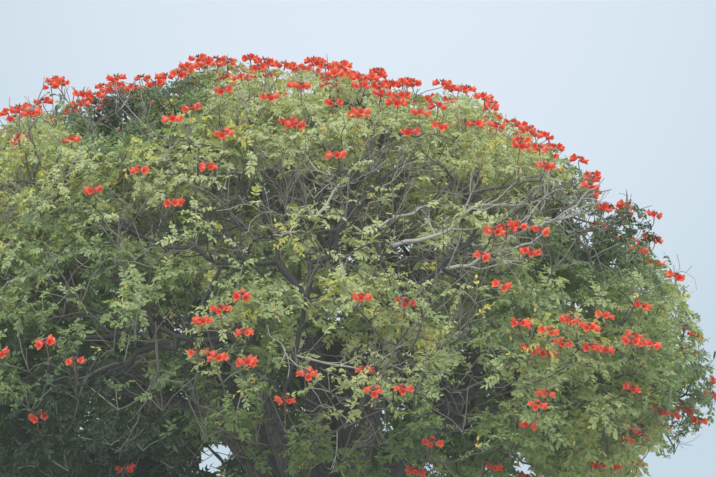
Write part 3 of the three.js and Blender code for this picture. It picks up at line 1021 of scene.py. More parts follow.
@cache
def feather_tree():
    """A feathery leaf: pairs of leaflets, which are the geometry input, along an arched stalk."""
    sizes = "length bare droop spread sag wobble leaflet_length stalk_width".split()
    kinds = {**dict.fromkeys(sizes, "Float"), "pairs": "Int", "seed": "Int", "material": "Material"}
    tree, inputs = new_tree("Feathery leaf", **kinds)
    length = inputs["Length"]
    end_height = product(tree, product(tree, length, inputs["Droop"]), -1.0)
    ends = {
        "Resolution": 2,
        "Start": (0, 0, 0),
        "Middle": vector_from(tree, X=product(tree, length, FEATHER.arch)),
        "End": vector_from(tree, X=length, Z=end_height),
    }
    stalk = out(tree, "GeometryNodeCurveQuadraticBezier", ends)
    feathered_part = {"Curve": stalk, "Start": inputs["Bare"], "End": 1.0}
    feathered = out(tree, "GeometryNodeTrimCurve", feathered_part)
    count = math_of(tree, "ADD", inputs["Pairs"], 1.0)
    spread_points = {"Curve": feathered, "Count": count}
    stations = add(tree, "GeometryNodeCurveToPoints", spread_points, mode="COUNT").outputs
    tangent = stations["Tangent"]
    normal = vector_of(tree, "CROSS_PRODUCT", tangent, (0, 1, 0))
    index = out(tree, "GeometryNodeInputIndex")
    share = math_of(tree, "DIVIDE", index, inputs["Pairs"])
    turn = math_of(tree, "MULTIPLY_ADD", share, FEATHER.turn, FEATHER.start)
    swell = math_of(tree, "MULTIPLY_ADD", math_of(tree, "SINE", turn), FEATHER.swell, FEATHER.least)
    size = product(tree, inputs["Leaflet length"], swell)
    ahead = scaled(tree, tangent, math_of(tree, "COSINE", inputs["Spread"]))
    down = scaled(tree, normal, product(tree, inputs["Sag"], -1.0))
    forward = vector_of(tree, "ADD", ahead, down)
    aside = math_of(tree, "SINE", inputs["Spread"])
    points = stations["Points"]
    is_last = compared(tree, "EQUAL", index, inputs["Pairs"])
    is_paired = compared(tree, "LESS_THAN", index, inputs["Pairs"])
    parts = [leaflets(tree, points, is_last, inputs, (tangent, normal), size, 0)]
    for side in (1, -1):
        across_stalk = vector_from(tree, Y=product(tree, aside, side))
        axes = (vector_of(tree, "ADD", forward, across_stalk), normal)
        parts.append(leaflets(tree, points, is_paired, inputs, axes, size, side))
    half = product(tree, inputs["Stalk width"], 0.5)
    left, right = (vector_from(tree, X=product(tree, half, side)) for side in (-1.0, 1.0))
    ribbon = out(tree, "GeometryNodeCurvePrimitiveLine", {"Start": left, "End": right})
    parts.append(out(tree, "GeometryNodeCurveToMesh", {"Curve": stalk, "Profile Curve": ribbon}))
    joined = add(tree, "GeometryNodeJoinGeometry")
    for part in parts:
        tree.links.new(part, joined.inputs[0])
    end_tree(tree, joined.outputs[0], inputs["Material"], False)
    return tree


def compared(tree, operation, first, second):
    numbers = {"A": first, "B": second}
    return out(tree, "FunctionNodeCompare", numbers, data_type="INT", operation=operation)


def leaflets(tree, points, selection, inputs, axes, size, seed):
    """A leaflet on each selected point, turned to two axes with a random wobble."""
    dealt = math_of(tree, "ADD", inputs["Seed"], seed)
    limits = {"Min": (-1, -1, -1), "Max": (1, 1, 1), "Seed": dealt}
    wobble = out(tree, "FunctionNodeRandomValue", limits, data_type="FLOAT_VECTOR")
    euler = {"Euler": scaled(tree, wobble, inputs["Wobble"])}
    turn = out(tree, "FunctionNodeEulerToRotation", euler)
    turns = {"Rotation": turned_to(tree, *axes), "Rotate By": turn}
    rotation = out(tree, "FunctionNodeRotateRotation", turns, rotation_space="LOCAL")
    placed = {"Points": points, "Selection": selection, "Instance": inputs["Geometry"]}
    placed |= {"Rotation": rotation, "Scale": size}
    return out(tree, "GeometryNodeInstanceOnPoints", placed)


@cache
def scatter_tree(is_smooth):
    """Shapes from a collection, one on each point, by its kind, heading, facing and size."""
    tree, inputs = new_tree("Scatter", shapes="Collection", enlarging="Float", material="Material")
    kinds = {"Collection": inputs["Shapes"], "Separate Children": True, "Reset Children": True}
    heading, facing = (attribute(tree, name, "FLOAT_VECTOR") for name in ("heading", "facing"))
    placed = {
        "Points": inputs["Geometry"],
        "Instance": out(tree, "GeometryNodeCollectionInfo", kinds),
        "Pick Instance": True,
        "Instance Index": attribute(tree, "kind", "INT"),
        "Rotation": turned_to(tree, heading, facing),
        "Scale": product(tree, attribute(tree, "size"), inputs["Enlarging"]),
    }
    leaves = out(tree, "GeometryNodeInstanceOnPoints", placed)
    end_tree(tree, leaves, inputs["Material"], is_smooth)
    return tree


def worked_out(piece, tree, **values):
    """The piece with its nodes' result as a plain mesh, and without the modifier."""
    modifier = piece.modifiers.new(tree.name, "NODES")
    modifier.node_group = tree
    sockets = {
        item.name: item.identifier for item in tree.interface.items_tree if item.in_out == "INPUT"
    }
    for label, value in values.items():
        modifier[sockets[socket_title(label)]] = value
    return evaluated(piece)


def evaluated(piece):
    """The piece with what its modifiers make of it as a plain mesh of its own."""
    bpy.context.view_layer.update()
    depsgraph = bpy.context.evaluated_depsgraph_get()
    mesh = bpy.data.meshes.new_from_object(piece.evaluated_get(depsgraph), depsgraph=depsgraph)
    before = piece.data
    piece.modifiers.clear()
    piece.data = mesh
    bpy.data.meshes.remove(before)
    mesh.name = piece.name
    return piece


# Meshes

def new_piece(name, vertices, edges=(), faces=()):
    """An object in the scene with a mesh of its own."""
    mesh = bpy.data.meshes.new(name)
    mesh.from_pydata([tuple(vertex) for vertex in vertices], edges, faces)
    piece = bpy.data.objects.new(name, mesh)
    bpy.context.scene.collection.objects.link(piece)
    return piece


def give_values(mesh, name, kind, values):
    """A value of its own for each point of a mesh."""
    layer = mesh.attributes.new(name, kind, "POINT")
    if kind == "FLOAT_VECTOR":
        layer.data.foreach_set("vector", [part for value in values for part in value])
    else:
        layer.data.foreach_set("value", values)


def seat(piece, nodes=FOLIAGE_NODES):
    """The piece belongs to the tree's one body and stands for some nodes of the frame."""
    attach(piece, BODY)
    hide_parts(*nodes)


def tubes(name, chains, sides, material, thickening=1.0):
    """One piece of round tubes along chains of points, each with a radius for each point."""
    vertices = []
    edges = []
    radii = []
    for chain in chains:
        first = len(vertices)
        vertices += chain.points
        radii += chain.radii
        edges += [(i, i + 1) for i in range(first, len(vertices) - 1)]
    piece = new_piece(name, vertices, edges)
    give_values(piece.data, "thickness", "FLOAT", radii)
    return worked_out(piece, tube_tree(), sides=sides, thickening=thickening, material=material)


def scattered(name, spots, shapes, material, enlarging=1.0, is_smooth=False):
    """One piece of shapes from a collection, one on each spot."""
    piece = new_piece(name, [spot.place for spot in spots])
    kinds = {"heading": "FLOAT_VECTOR", "facing": "FLOAT_VECTOR", "size": "FLOAT", "kind": "INT"}
    for label, kind in kinds.items():
        give_values(piece.data, label, kind, [getattr(spot, label) for spot in spots])
    return worked_out(
        piece, scatter_tree(is_smooth), shapes=shapes, enlarging=enlarging, material=material
    )


def collection_of(name, pieces):
    """A collection outside the scene that holds the shapes to scatter."""
    collection = bpy.data.collections.new(name)
    for piece in pieces:
        collection.objects.link(piece)
        bpy.context.scene.collection.objects.unlink(piece)
    return collection


def discard(collection):
    """Takes away shapes that have been scattered."""
    for piece in list(collection.objects):
        bpy.data.meshes.remove(piece.data)
    bpy.data.collections.remove(collection)


# Materials

def new_material(name, colour, **values):
    """A material of one colour whose shader has these values, its node tree and its shader."""
    material = bpy.data.materials.new(name)
    material.use_nodes = True
    shader = material.node_tree.nodes["Principled BSDF"]
    shader.inputs["Base Color"].default_value = (*colour, 1.0)
    for label, value in values.items():
        socket = label.replace("_", " ").title().replace("Ior", "IOR")
        shader.inputs[socket].default_value = value
    return material, material.node_tree, shader


def ranged(tree, value, start, end, low=0.0, high=1.0):
    """A value that goes from low to high as another one goes from start to end."""
    limits = {"From Min": start, "From Max": end, "To Min": low, "To Max": high}
    return out(tree, "ShaderNodeMapRange", {"Value": value, **limits})


def noise_of(tree, place, scale, detail):
    grain = {"Vector": place, "Scale": scale, "Detail": detail}
    return add(tree, "ShaderNodeTexNoise", grain).outputs


GRAIN_RANGE = (0.3, 0.7)
FINE_DETAIL = 3.0


def relief(tree, shader, height, strength, distance, dullness):
    """Bumps of a height, and a roughness that varies between two values with another one."""
    bump = {"Height": height, "Strength": strength, "Distance": distance}
    tree.links.new(out(tree, "ShaderNodeBump", bump), shader.inputs["Normal"])
    grain, roughness = dullness
    tree.links.new(ranged(tree, grain, *GRAIN_RANGE, *roughness), shader.inputs["Roughness"])


def fine_relief(tree, shader, scale, strength, distance, roughness):
    """Fine bumps, and a roughness that varies with them."""
    place = add(tree, "ShaderNodeTexCoord").outputs["Object"]
    grain = noise_of(tree, place, scale, FINE_DETAIL)[0]
    relief(tree, shader, grain, strength, distance, (grain, roughness))


def let_light_through(tree, shader, colour, share):
    """Adds the light that comes through a thin leaf or petal from behind."""
    glow = out(tree, "ShaderNodeBsdfTranslucent", {"Color": (*colour, 1.0)})
    both = out(tree, "ShaderNodeMixShader", {"Fac": share, 1: shader.outputs[0], 2: glow})
    tree.links.new(both, tree.nodes["Material Output"].inputs["Surface"])


# How much light comes through leaves and petals, and the tint that leaves give it
THROUGH = Sizes(leaf=0.3, petal=0.25, red=1.35, green=1.4, blue=0.8)


def leaf_material(name, colour):
    """A waxy leaf of one plain colour, which glows yellower where light comes through it."""
    material, tree, shader = new_material(name, colour, specular_ior_level=0.36)
    fine_relief(tree, shader, scale=55.0, strength=0.35, distance=0.004, roughness=(0.38, 0.55))
    red, green, blue = colour
    glow = (THROUGH.red * red, THROUGH.green * green, THROUGH.blue * blue)
    let_light_through(tree, shader, glow, THROUGH.leaf)
    return material


def wood_material(name, colour, roughness):
    """The thin bark of twigs."""
    material, tree, shader = new_material(name, colour)
    fine_relief(tree, shader, scale=90.0, strength=0.5, distance=0.003, roughness=roughness)
    return material


def petal_material(name, colour):
    """A velvety petal with a soft sheen."""
    material, tree, shader = new_material(name, colour, sheen_weight=0.2)
    fine_relief(tree, shader, scale=70.0, strength=0.4, distance=0.003, roughness=(0.42, 0.6))
    let_light_through(tree, shader, colour, THROUGH.petal)
    return material


BARK = Sizes(
    stretch=(1.0, 1.0, 0.22),  # the grain's turns down the limb as a share of those across it
    warp=0.05, warp_scale=9.0, warp_detail=3.0, plate_scale=21.0, patch_scale=2.6,
    patch_detail=5.0, speckle_scale=60.0, speckle_detail=4.0,
    fissure=0.16,  # a fissure's half width, as a share of a plate
    pale=(0.35, 0.8),  # the values between which each colour comes in
    # crust: where the paler upper sides come in, partly a lichen crust and partly painted light on
    # the tops
    warm=(0.45, 0.72), crust=(0.2, 0.62),
    speckle_height=0.35, strength=0.8, depth=0.012, roughness=(0.78, 0.95),
)


def bark_material(name, bark):
    """Furrowed bark: dark fissures down the limb, grey plates, and paler upper sides, partly a
    mossy crust and partly painted light on the tops.
    """
    material, tree, shader = new_material(name, bark.plate_colour)
    grain = add(tree, "ShaderNodeAttribute", attribute_name="grain").outputs["Vector"]
    long_grain = vector_of(tree, "MULTIPLY", grain, BARK.stretch)
    warp = noise_of(tree, long_grain, BARK.warp_scale, BARK.warp_detail)["Color"]
    bent = vector_of(tree, "ADD", long_grain, scaled(tree, warp, BARK.warp))
    plates = {"Vector": bent, "Scale": BARK.plate_scale}
    cracks = out(tree, "ShaderNodeTexVoronoi", plates, feature="DISTANCE_TO_EDGE")
    fissure = ranged(tree, cracks, 0.0, BARK.fissure)
    patches = noise_of(tree, grain, BARK.patch_scale, BARK.patch_detail)[0]
    speckle = noise_of(tree, long_grain, BARK.speckle_scale, BARK.speckle_detail)[0]
    speckled = blend_of(tree, speckle, bark.plate_colour, bark.pale_colour, *BARK.pale)
    mottled = blend_of(tree, patches, speckled, bark.warm_colour, *BARK.warm)
    furrowed = blend_of(tree, fissure, bark.furrow_colour, mottled, 0.0, 1.0)
    # Paler upper sides, by the surface's upward part: partly a lichen crust, partly painted light
    # that falls on the tops
    normal = add(tree, "ShaderNodeNewGeometry").outputs["Normal"]
    upward = add(tree, "ShaderNodeSeparateXYZ", {"Vector": normal}).outputs["Z"]
    crust_and_lit_top_share = product(tree, upward, patches)
    finished = blend_of(tree, crust_and_lit_top_share, furrowed, bark.crust_and_lit_top_colour, *BARK.crust)
    tree.links.new(finished, shader.inputs["Base Color"])
    height = math_of(tree, "MULTIPLY_ADD", speckle, BARK.speckle_height, fissure)
    relief(tree, shader, height, BARK.strength, BARK.depth, (speckle, BARK.roughness))
    return material


def blend_of(tree, value, first, second, start, end):
    """A colour that goes from the first to the second as a value goes from start to end."""
    factor = ranged(tree, value, start, end)
    node = add(tree, "ShaderNodeMix", {"Factor": factor}, data_type="RGBA")
    sockets = [socket for socket in node.inputs if socket.enabled and socket.name in ("A", "B")]
    for socket, colour in zip(sockets, (first, second)):
        if isinstance(colour, bpy.types.NodeSocket):
            tree.links.new(colour, socket)
        else:
            socket.default_value = (*colour, 1.0)
    return next(socket for socket in node.outputs if socket.enabled)


# Settings

def colour_of(what, default, name=None):
    """The colour of something as a setting."""
    name = name or what.capitalize()
    description = f"Colour of {what}"
    return FloatVectorProperty(name=name, description=description, default=default, subtype="COLOR")


def length_of(name, description, default, least=0.0):
    """A length in metres as a setting."""
    return FloatProperty(
        name=name, description=description, default=default, min=least, subtype="DISTANCE"
    )


def count_of(name, description, default, least):
    """A whole number as a setting."""
    return IntProperty(name=name, description=description, default=default, min=least)


def factor_of(name, description, default, least=0.0):
    """A plain factor as a setting."""
    return FloatProperty(name=name, description=description, default=default, min=least)


# Bark

RELIEF = Sizes(
    sunk=0.2,  # the trunk's mesh starts this far under the cut, which is made last
    trunk_sides=96, trunk_steps=64, sides=20, step=0.12, least_steps=6,
    swelling=1.3,  # a bough's foot, as a share of its radius
    swelling_length=0.3, smoothing=6,
    waves=0.05,  # as shares of the limb's radius
    wave_size=1.6, furrows=0.055, furrow_size=7.5, stretch=0.2,
)


def walls(first, rings, sides):
    """Faces between rings of points, whose first point has this number."""
    faces = []
    for i in range(rings - 1):
        for k in range(sides):
            a = first + i * sides + k
            b = first + i * sides + (k + 1) % sides
            faces.append((a, b, b + sides, a + sides))
    return faces


def closed_tube(first, rings, sides):
    """The faces of a tube of rings, closed at both ends."""
    last = first + (rings - 1) * sides
    foot = tuple(first + k for k in reversed(range(sides)))
    return [*walls(first, rings, sides), foot, tuple(last + k for k in range(sides))]


def trunk_rings(vertices, faces):
    """The trunk, from below the cut to its rounded top under the fork."""
    faces += closed_tube(len(vertices), RELIEF.trunk_steps + 1, RELIEF.trunk_sides)
    for i in range(RELIEF.trunk_steps + 1):
        z = mix(-RELIEF.sunk, TRUNK.top, i / RELIEF.trunk_steps)
        for k in range(RELIEF.trunk_sides):
            angle = 2 * math.pi * k / RELIEF.trunk_sides
            radius = trunk_radius(max(z, 0.0), angle)
            vertices.append(trunk_middle(z) + towards(angle, 0) * radius)


def limb_rings(vertices, faces, limb, swelling):
    """A leader or bough as a round tube, which may be thicker at its foot."""
    length = (limb.curve.point(1.0) - limb.curve.point(0.0)).length
    steps = max(RELIEF.least_steps, round(length / RELIEF.step))
    middles = [limb.curve.point(i / steps) for i in range(steps + 1)]
    faces += closed_tube(len(vertices), steps + 1, RELIEF.sides)
    first = across((middles[1] - middles[0]).normalized())[0]
    for i, middle in enumerate(middles):
        swollen = 1 + (swelling - 1) * math.exp(-(i / steps) * length / RELIEF.swelling_length)
        radius = mix(limb.radius, limb.tip, i / steps) * swollen
        along = (middles[min(i + 1, steps)] - middles[max(i - 1, 0)]).normalized()
        first = (first - along * first.dot(along)).normalized()
        second = along.cross(first)
        for k in range(RELIEF.sides):
            angle = 2 * math.pi * k / RELIEF.sides
            outward = first * math.cos(angle) + second * math.sin(angle)
            vertices.append(middle + outward * radius)


def remeshed(piece, voxel):
    """The piece's closed tubes as one even skin, with smooth forks."""
    remesh = piece.modifiers.new("Skin", "REMESH")
    remesh.mode = "VOXEL"
    remesh.voxel_size = voxel
    remesh.use_smooth_shade = True
    smooth = piece.modifiers.new("Smooth", "SMOOTH")
    smooth.factor = 0.5
    smooth.iterations = RELIEF.smoothing
    return evaluated(piece)


def carve_bark(piece, samples, points, depth):
    """Waves and furrows down each limb, and the place of each point on its limb for the bark."""
    mesh = piece.data
    grains = []
    moved = []
    for vertex in mesh.vertices:
        sample = samples[points.find(vertex.co)[1]]
        away = vertex.co - sample.middle
        second = sample.along.cross(sample.first)
        grain = Vector(
            (away.dot(sample.first), away.dot(second), sample.length + away.dot(sample.along))
        )
        stretched = Vector((grain.x, grain.y, grain.z * RELIEF.stretch))
        wave = noise.noise(grain * RELIEF.wave_size)
        ridge = 1 - 2 * abs(noise.noise(stretched * RELIEF.furrow_size / sample.radius**0.5))
        shift = sample.radius * (RELIEF.waves * wave + depth * RELIEF.furrows * ridge)
        moved.append(vertex.co + vertex.normal * shift)
        grains.append(grain)
    mesh.vertices.foreach_set("co", [part for point in moved for part in point])
    give_values(mesh, "grain", "FLOAT_VECTOR", grains)
    mesh.update()


def cut_flat(piece):
    """Cuts the trunk's mesh flat at ground level and closes the cut."""
    body = bmesh.new()
    body.from_mesh(piece.data)
    everything = body.verts[:] + body.edges[:] + body.faces[:]
    cut = bmesh.ops.bisect_plane(
        body, geom=everything, plane_co=(0, 0, 0), plane_no=(0, 0, 1), clear_inner=True
    )
    edges = [item for item in cut["geom_cut"] if isinstance(item, bmesh.types.BMEdge)]
    bmesh.ops.contextual_create(body, geom=edges)
    body.to_mesh(piece.data)
    body.free()


class BarkSettings(bpy.types.PropertyGroup):
    """The trunk's, leaders' and boughs' bark."""

    trunk_grid: length_of("Trunk grid", "Side of the faces on the trunk and leaders", 0.027, 0.01)
    bough_grid: length_of("Bough grid", "Side of the faces on the boughs", 0.026, 0.01)
    furrow_depth: factor_of("Furrow depth", "How deep the furrows are", 1.0)
    # These colours are darker than the bark's own grey-brown: painted shade of the crown over the
    # limbs
    plate_colour: colour_of("the bark", (0.062, 0.051, 0.042), "Plates")
    pale_colour: colour_of("the bark's palest specks", (0.125, 0.107, 0.09), "Pale plates")
    warm_colour: colour_of("the browner patches", (0.08, 0.06, 0.044), "Warm patches")
    furrow_colour: colour_of("the fissures", (0.018, 0.014, 0.012), "Furrows")
    # The upper sides' pale colour: partly a lichen crust, partly painted light on the tops
    crust_and_lit_top_colour: colour_of("the crust on upper sides", (0.15, 0.14, 0.115), "Crust")


class TULIPTREE_OT_bark(bpy.types.Operator):
    """Make the trunk, the leaders and the boughs with their bark"""

    bl_idname = "tulip_tree.bark"
    bl_label = "Trunk and boughs"

    def execute(self, context):
        bark = context.scene.tulip_tree.bark
        material = bark_material("furrowed bark", bark)
        samples = limb_samples()
        points = search_tree([sample.middle for sample in samples])
        trunk_form, bough_form = ([], []), ([], [])
        trunk_rings(*trunk_form)
        for leader in limbs().leaders:
            limb_rings(*trunk_form, leader, 1.0)
        for bough in limbs().boughs:
            is_side = bough.radius == BOUGH.radius
            limb_rings(*bough_form, bough, RELIEF.swelling if is_side else 1.0)
        pieces = (
            ("trunk_and_leaders", trunk_form, bark.trunk_grid, LIMB_NODES),
            ("boughs", bough_form, bark.bough_grid, BOUGH_NODES),
        )
        for name, (vertices, faces), grid, nodes in pieces:
            piece = remeshed(new_piece(name, vertices, (), faces), grid)
            carve_bark(piece, samples, points, bark.furrow_depth)
            if nodes is LIMB_NODES:
                cut_flat(piece)
            piece.data.materials.append(material)
            seat(piece, nodes)
        return {"FINISHED"}


# Twigs

DEAD = Sizes(
    count=330,
    base_share=0.06,  # of the places that may start one, and how this grows in the bare places
    bare_share=3.0, from_level=0.7, follow=0.6, rise=0.35, openings=(25, 70), reach=1.7,
    lengths=(0.5, 1.0), longest=1.5, few_thick=3, radius=0.009, thickest=0.017, tip=0.004,
    forks=3, crook=0.05, pale_share=0.3, skin=1.0, seed=7000,
)
# A bare twig starts lower than it ends, and its forks leave it so far along at such angles
BARE = Sizes(
    lowering=0.35, rise=0.6, taper=0.8, joints=(0.25, 0.85), openings=(22, 50),
    lengths=(0.25, 0.5), fork_rise=0.5, fork_width=0.75,
)
TWIG_ROUGHNESS = (0.7, 0.9)
# The twigs that fork off the limbs of the front
FRONT = Sizes(every=2, openings=(30, 65), length=0.35, longer=0.6, radius=0.016, share=0.6, forks=2)
# Bare twigs stand thickest around these places.
BARE_PLACES = table(
    "middle reach share",
    ((3.2, -3.6, 7.5), 1.6, 0.3), ((-4.4, -3.2, 7.2), 1.7, 0.3), ((-1.6, -4.2, 7.6), 2.0, 0.22),
    ((0.8, -4.0, 7.6), 1.8, 0.25), ((0.6, -4.4, 5.6), 1.4, 0.3), ((-4.9, -1.5, 9.0), 1.3, 0.12),
)
# Long dead limbs that stand out, by where their ends are seen. Each starts on the nearest limb, and
# its end is so far in front of its start. The first is the stump of a broken leader.
DEAD_LIMBS = table(
    "start end forward radius tip forks",
    ((0.56, 6.35), (0.64, 7.0), 0.2, 0.08, 0.055, 0),
    ((0.62, 6.75), (0.15, 6.95), 0.2, 0.025, 0.01, 1),
    ((2.4, 6.95), (3.25, 7.08), 0.4, 0.024, 0.008, 2),
    ((2.0, 7.15), (4.25, 8.0), 0.7, 0.036, 0.007, 5),
    ((1.85, 7.45), (3.4, 8.05), 0.8, 0.032, 0.007, 5),
    ((1.17, 7.78), (1.95, 8.1), 0.9, 0.022, 0.007, 3),
    ((0.22, 8.35), (-0.45, 8.8), 0.6, 0.02, 0.007, 3),
    ((-0.1, 5.4), (1.35, 5.3), 2.0, 0.016, 0.006, 5),
    ((0.4, 5.5), (2.1, 5.85), 2.0, 0.016, 0.006, 5),
    ((-3.2, 7.3), (-4.7, 7.9), 1.0, 0.017, 0.006, 5),
    ((-3.9, 6.9), (-5.15, 7.4), 1.0, 0.016, 0.006, 5),
    ((-2.4, 8.1), (-3.5, 8.55), 0.8, 0.022, 0.007, 3),
    ((-4.7, 8.6), (-5.1, 9.75), 0.3, 0.02, 0.006, 3),
)


def dead_twigs(grown):
    """Bare twigs with a few forks that start on living branches and reach out of them."""
    roll = dice(DEAD.seed)
    starts = []
    for branch in grown.branches:
        for i in range(1, len(branch.points)):
            if leafy_level(branch.points[i]) > DEAD.from_level:
                starts.append((branch, i))
    twigs = []
    while len(twigs) < DEAD.count:
        branch, index = starts[int(roll() * len(starts))]
        place = branch.points[index]
        near = max(
            spot.share * math.exp(-(((place - Vector(spot.middle)).length / spot.reach) ** 2))
            for spot in BARE_PLACES
        )
        if roll() > DEAD.base_share + DEAD.bare_share * near:
            continue
        outward = (place - CROWN.middle).normalized()
        way = (outward + branch.direction(index) * DEAD.follow + UP * DEAD.rise).normalized()
        way = forking(way, DEAD.openings, roll)
        size = roll() ** DEAD.few_thick
        length = DEAD.reach * mix(*DEAD.lengths, roll()) * mix(1.0, DEAD.longest, size)
        length = leafy_room(place, way, length, DEAD.skin)
        thick = mix(DEAD.radius, DEAD.thickest, size)
        twigs.append(bare_twig(place, way, length, (thick, DEAD.tip), DEAD.forks, roll))
    return twigs


def dead_limbs(samples):
    """The long dead limbs."""
    roll = dice(DEAD.seed + 1)
    limbs_seen = [(seen_at(sample.middle), sample.middle) for sample in samples]
    twigs = []
    for limb in DEAD_LIMBS:
        foot = Vector((limb.start[0], 0, limb.start[1]))
        start = min(limbs_seen, key=lambda pair: (pair[0] - foot).length)[1]
        end = Vector((limb.end[0], start.y - limb.forward, limb.end[1]))
        way = end - start
        radii = (limb.radius, limb.tip)
        twigs.append(bare_twig(start, way.normalized(), way.length, radii, limb.forks, roll))
    return twigs


def front_wood(is_dead):
    """The living or the dead limbs that cross the front, with bare twigs that fork off them."""
    roll = dice(SHOWN.dead_seed if is_dead else SHOWN.living_seed)
    wood = [limb for limb in shown_limbs() if limb.is_dead == is_dead]
    for limb in [*wood]:
        for i in range(FRONT.every, len(limb.points) - 1, FRONT.every):
            foot = limb.points[i]
            along = (limb.points[i + 1] - foot).normalized()
            way = forking(along, FRONT.openings, roll)
            length = FRONT.length + FRONT.longer * roll()
            length = leafy_room(foot, way, length, DEAD.skin)
            radii = (min(FRONT.radius, FRONT.share * limb.radii[i]), DEAD.tip)
            wood += bare_twig(foot, way, length, radii, FRONT.forks, roll)
    return wood


def bare_twig(start, way, length, radii, forks, roll):
    """One bare twig, which bends upwards, and its forks, as chains with radii."""
    end = start + way * length
    level = Vector((way.x, way.y, way.z - BARE.lowering)).normalized()
    main = crooked(start, level, end, (way + UP * BARE.rise).normalized(), DEAD.crook, roll)
    widths = tapering(*radii, main, BARE.taper)
    chains = [Sizes(points=main, radii=widths)]
    last = len(main) - 1
    for k in range(forks):
        joint = max(1, round(last * mix(*BARE.joints, (k + roll()) / forks)))
        side = forking(way, BARE.openings, roll)
        reach = length * mix(*BARE.lengths, roll())
        reach = leafy_room(main[joint], side, reach, DEAD.skin)
        tip = main[joint] + side * reach
        arriving = (side + UP * BARE.fork_rise).normalized()
        fork = crooked(main[joint], way, tip, arriving, DEAD.crook, roll)
        fork_radii = tapering(widths[joint] * BARE.fork_width, DEAD.tip, fork)
        chains.append(Sizes(points=fork, radii=fork_radii))
    return chains


class TwigSettings(bpy.types.PropertyGroup):
    """The living and the bare twigs."""

    thickening: factor_of("Thickening", "Factor on the thickness of twigs", 1.0, 0.1)
    # The front limbs' near-black colour is painted shade, for the crown's shade on them
    shaded_limb_colour: colour_of("the limbs that cross the front", (0.02, 0.017, 0.014), "Front limbs")
    bark_colour: colour_of("living twigs", (0.075, 0.063, 0.05), "Twig bark")
    shoot_colour: colour_of("leafy shoots", (0.24, 0.22, 0.16), "Shoots")
    bare_colour: colour_of("bare living twigs", (0.135, 0.112, 0.088), "Bare twigs")
    dead_colour: colour_of("dead twigs and limbs", (0.34, 0.3, 0.25), "Dead wood")


def shoot_chain(shoot):
    radii = [mix(SHOOT.radius * SHOOT.foot, SHOOT.radius, share) for share in (0, 0.5, 1)]
    return Sizes(points=shoot.points, radii=radii)


class TULIPTREE_OT_twigs(bpy.types.Operator):
    """Make the living twigs, the leafy shoots, the bare twigs and the dead wood"""

    bl_idname = "tulip_tree.twigs"
    bl_label = "Twigs"

    def execute(self, context):
        settings = context.scene.tulip_tree
        twigs = settings.twigs
        grown = growth_from(settings)
        leafy = [shoot_chain(shoot) for shoot in grown.shoots if not shoot.clump.is_bare]
        bare = [shoot_chain(shoot) for shoot in grown.shoots if shoot.clump.is_bare]
        dead = []
        roll = dice(DEAD.seed + 2)
        for chains in dead_twigs(grown):
            (dead if roll() < DEAD.pale_share else bare).extend(chains)
        for chains in dead_limbs(limb_samples()):
            dead += chains
        dead += front_wood(is_dead=True)
        # Each piece's chains, sides, finish, colour and slot
        pieces = (
            # The front limbs' dark bark is painted shade
            ("front_limbs", front_wood(is_dead=False), 6, "dark bark", twigs.shaded_limb_colour, "twigs"),
            ("twigs", grown.branches, 6, "twig bark", twigs.bark_colour, "twigs"),
            ("shoots", leafy, 3, "green shoots", twigs.shoot_colour, "twigs"),
            ("bare_twigs", bare, 4, "bare bark", twigs.bare_colour, "twigs"),
            ("dead_twigs", dead, 5, "dead wood", twigs.dead_colour, "dead_wood"),
        )
        for name, chains, sides, finish, colour, slot in pieces:
            material = wood_material(finish, colour, TWIG_ROUGHNESS)
            seat(tubes(name, chains, sides, material, twigs.thickening))
        return {"FINISHED"}


# Leaves

LEAFLET = Sizes(
    width=0.5, fold=0.07, droop=0.08, widest=0.42, inset=0.7, spread=60, stalk=0.005, seeds=10,
    right_near=0.28, right_far=0.68, left=0.46,  # where the corners of the shaped ones are
    far_width=0.8, far_lift=0.6,
)
LEAF_DROOPS = (0.12, 0.3, 0.48, 0.66, 0.22, 0.55)
# The kinds of feathery leaf: two shaped ones and plainer ones for the outside, plain ones for the
# shade, broad ones for the inside, and scraps of old leaves, which turn yellow. The growth is that
# of their leaflets.
LEAF_KINDS = table(
    "count is_shaped length fewer_pairs growth",
    (LEAF.shaped_kinds, True, 1.0, 0, 1.0),
    (LEAF.outer_kinds - LEAF.shaped_kinds, False, 1.0, -2, 0.88),
    (LEAF.plain_kinds, False, 1.0, 1, 1.3),
    (LEAF.broad_kinds, False, 1.1, 1, 1.85),
    (LEAF.scrap_kinds, True, 0.45, 4, 1.0),
)


def leaflet_mesh(name, is_shaped):
    """A leaflet of length 1 along X, folded up a little along its midrib."""
    foot = (0.0, 0.0, 0.0)
    tip = (1.0, 0.0, -LEAFLET.droop)
    wide = LEAFLET.width / 2
    lift = LEAFLET.fold
    if is_shaped:
        near = (LEAFLET.right_near, -wide, lift)
        far = (LEAFLET.right_far, -wide * LEAFLET.far_width, lift * LEAFLET.far_lift)
        vertices = [foot, near, far, tip, (LEAFLET.left, wide, lift)]
    else:
        vertices = [foot, (LEAFLET.widest, -wide, lift), tip, (LEAFLET.widest, wide, lift)]
    faces = [(0, i, i + 1) for i in range(1, len(vertices) - 1)]
    return new_piece(name, vertices, (), faces)


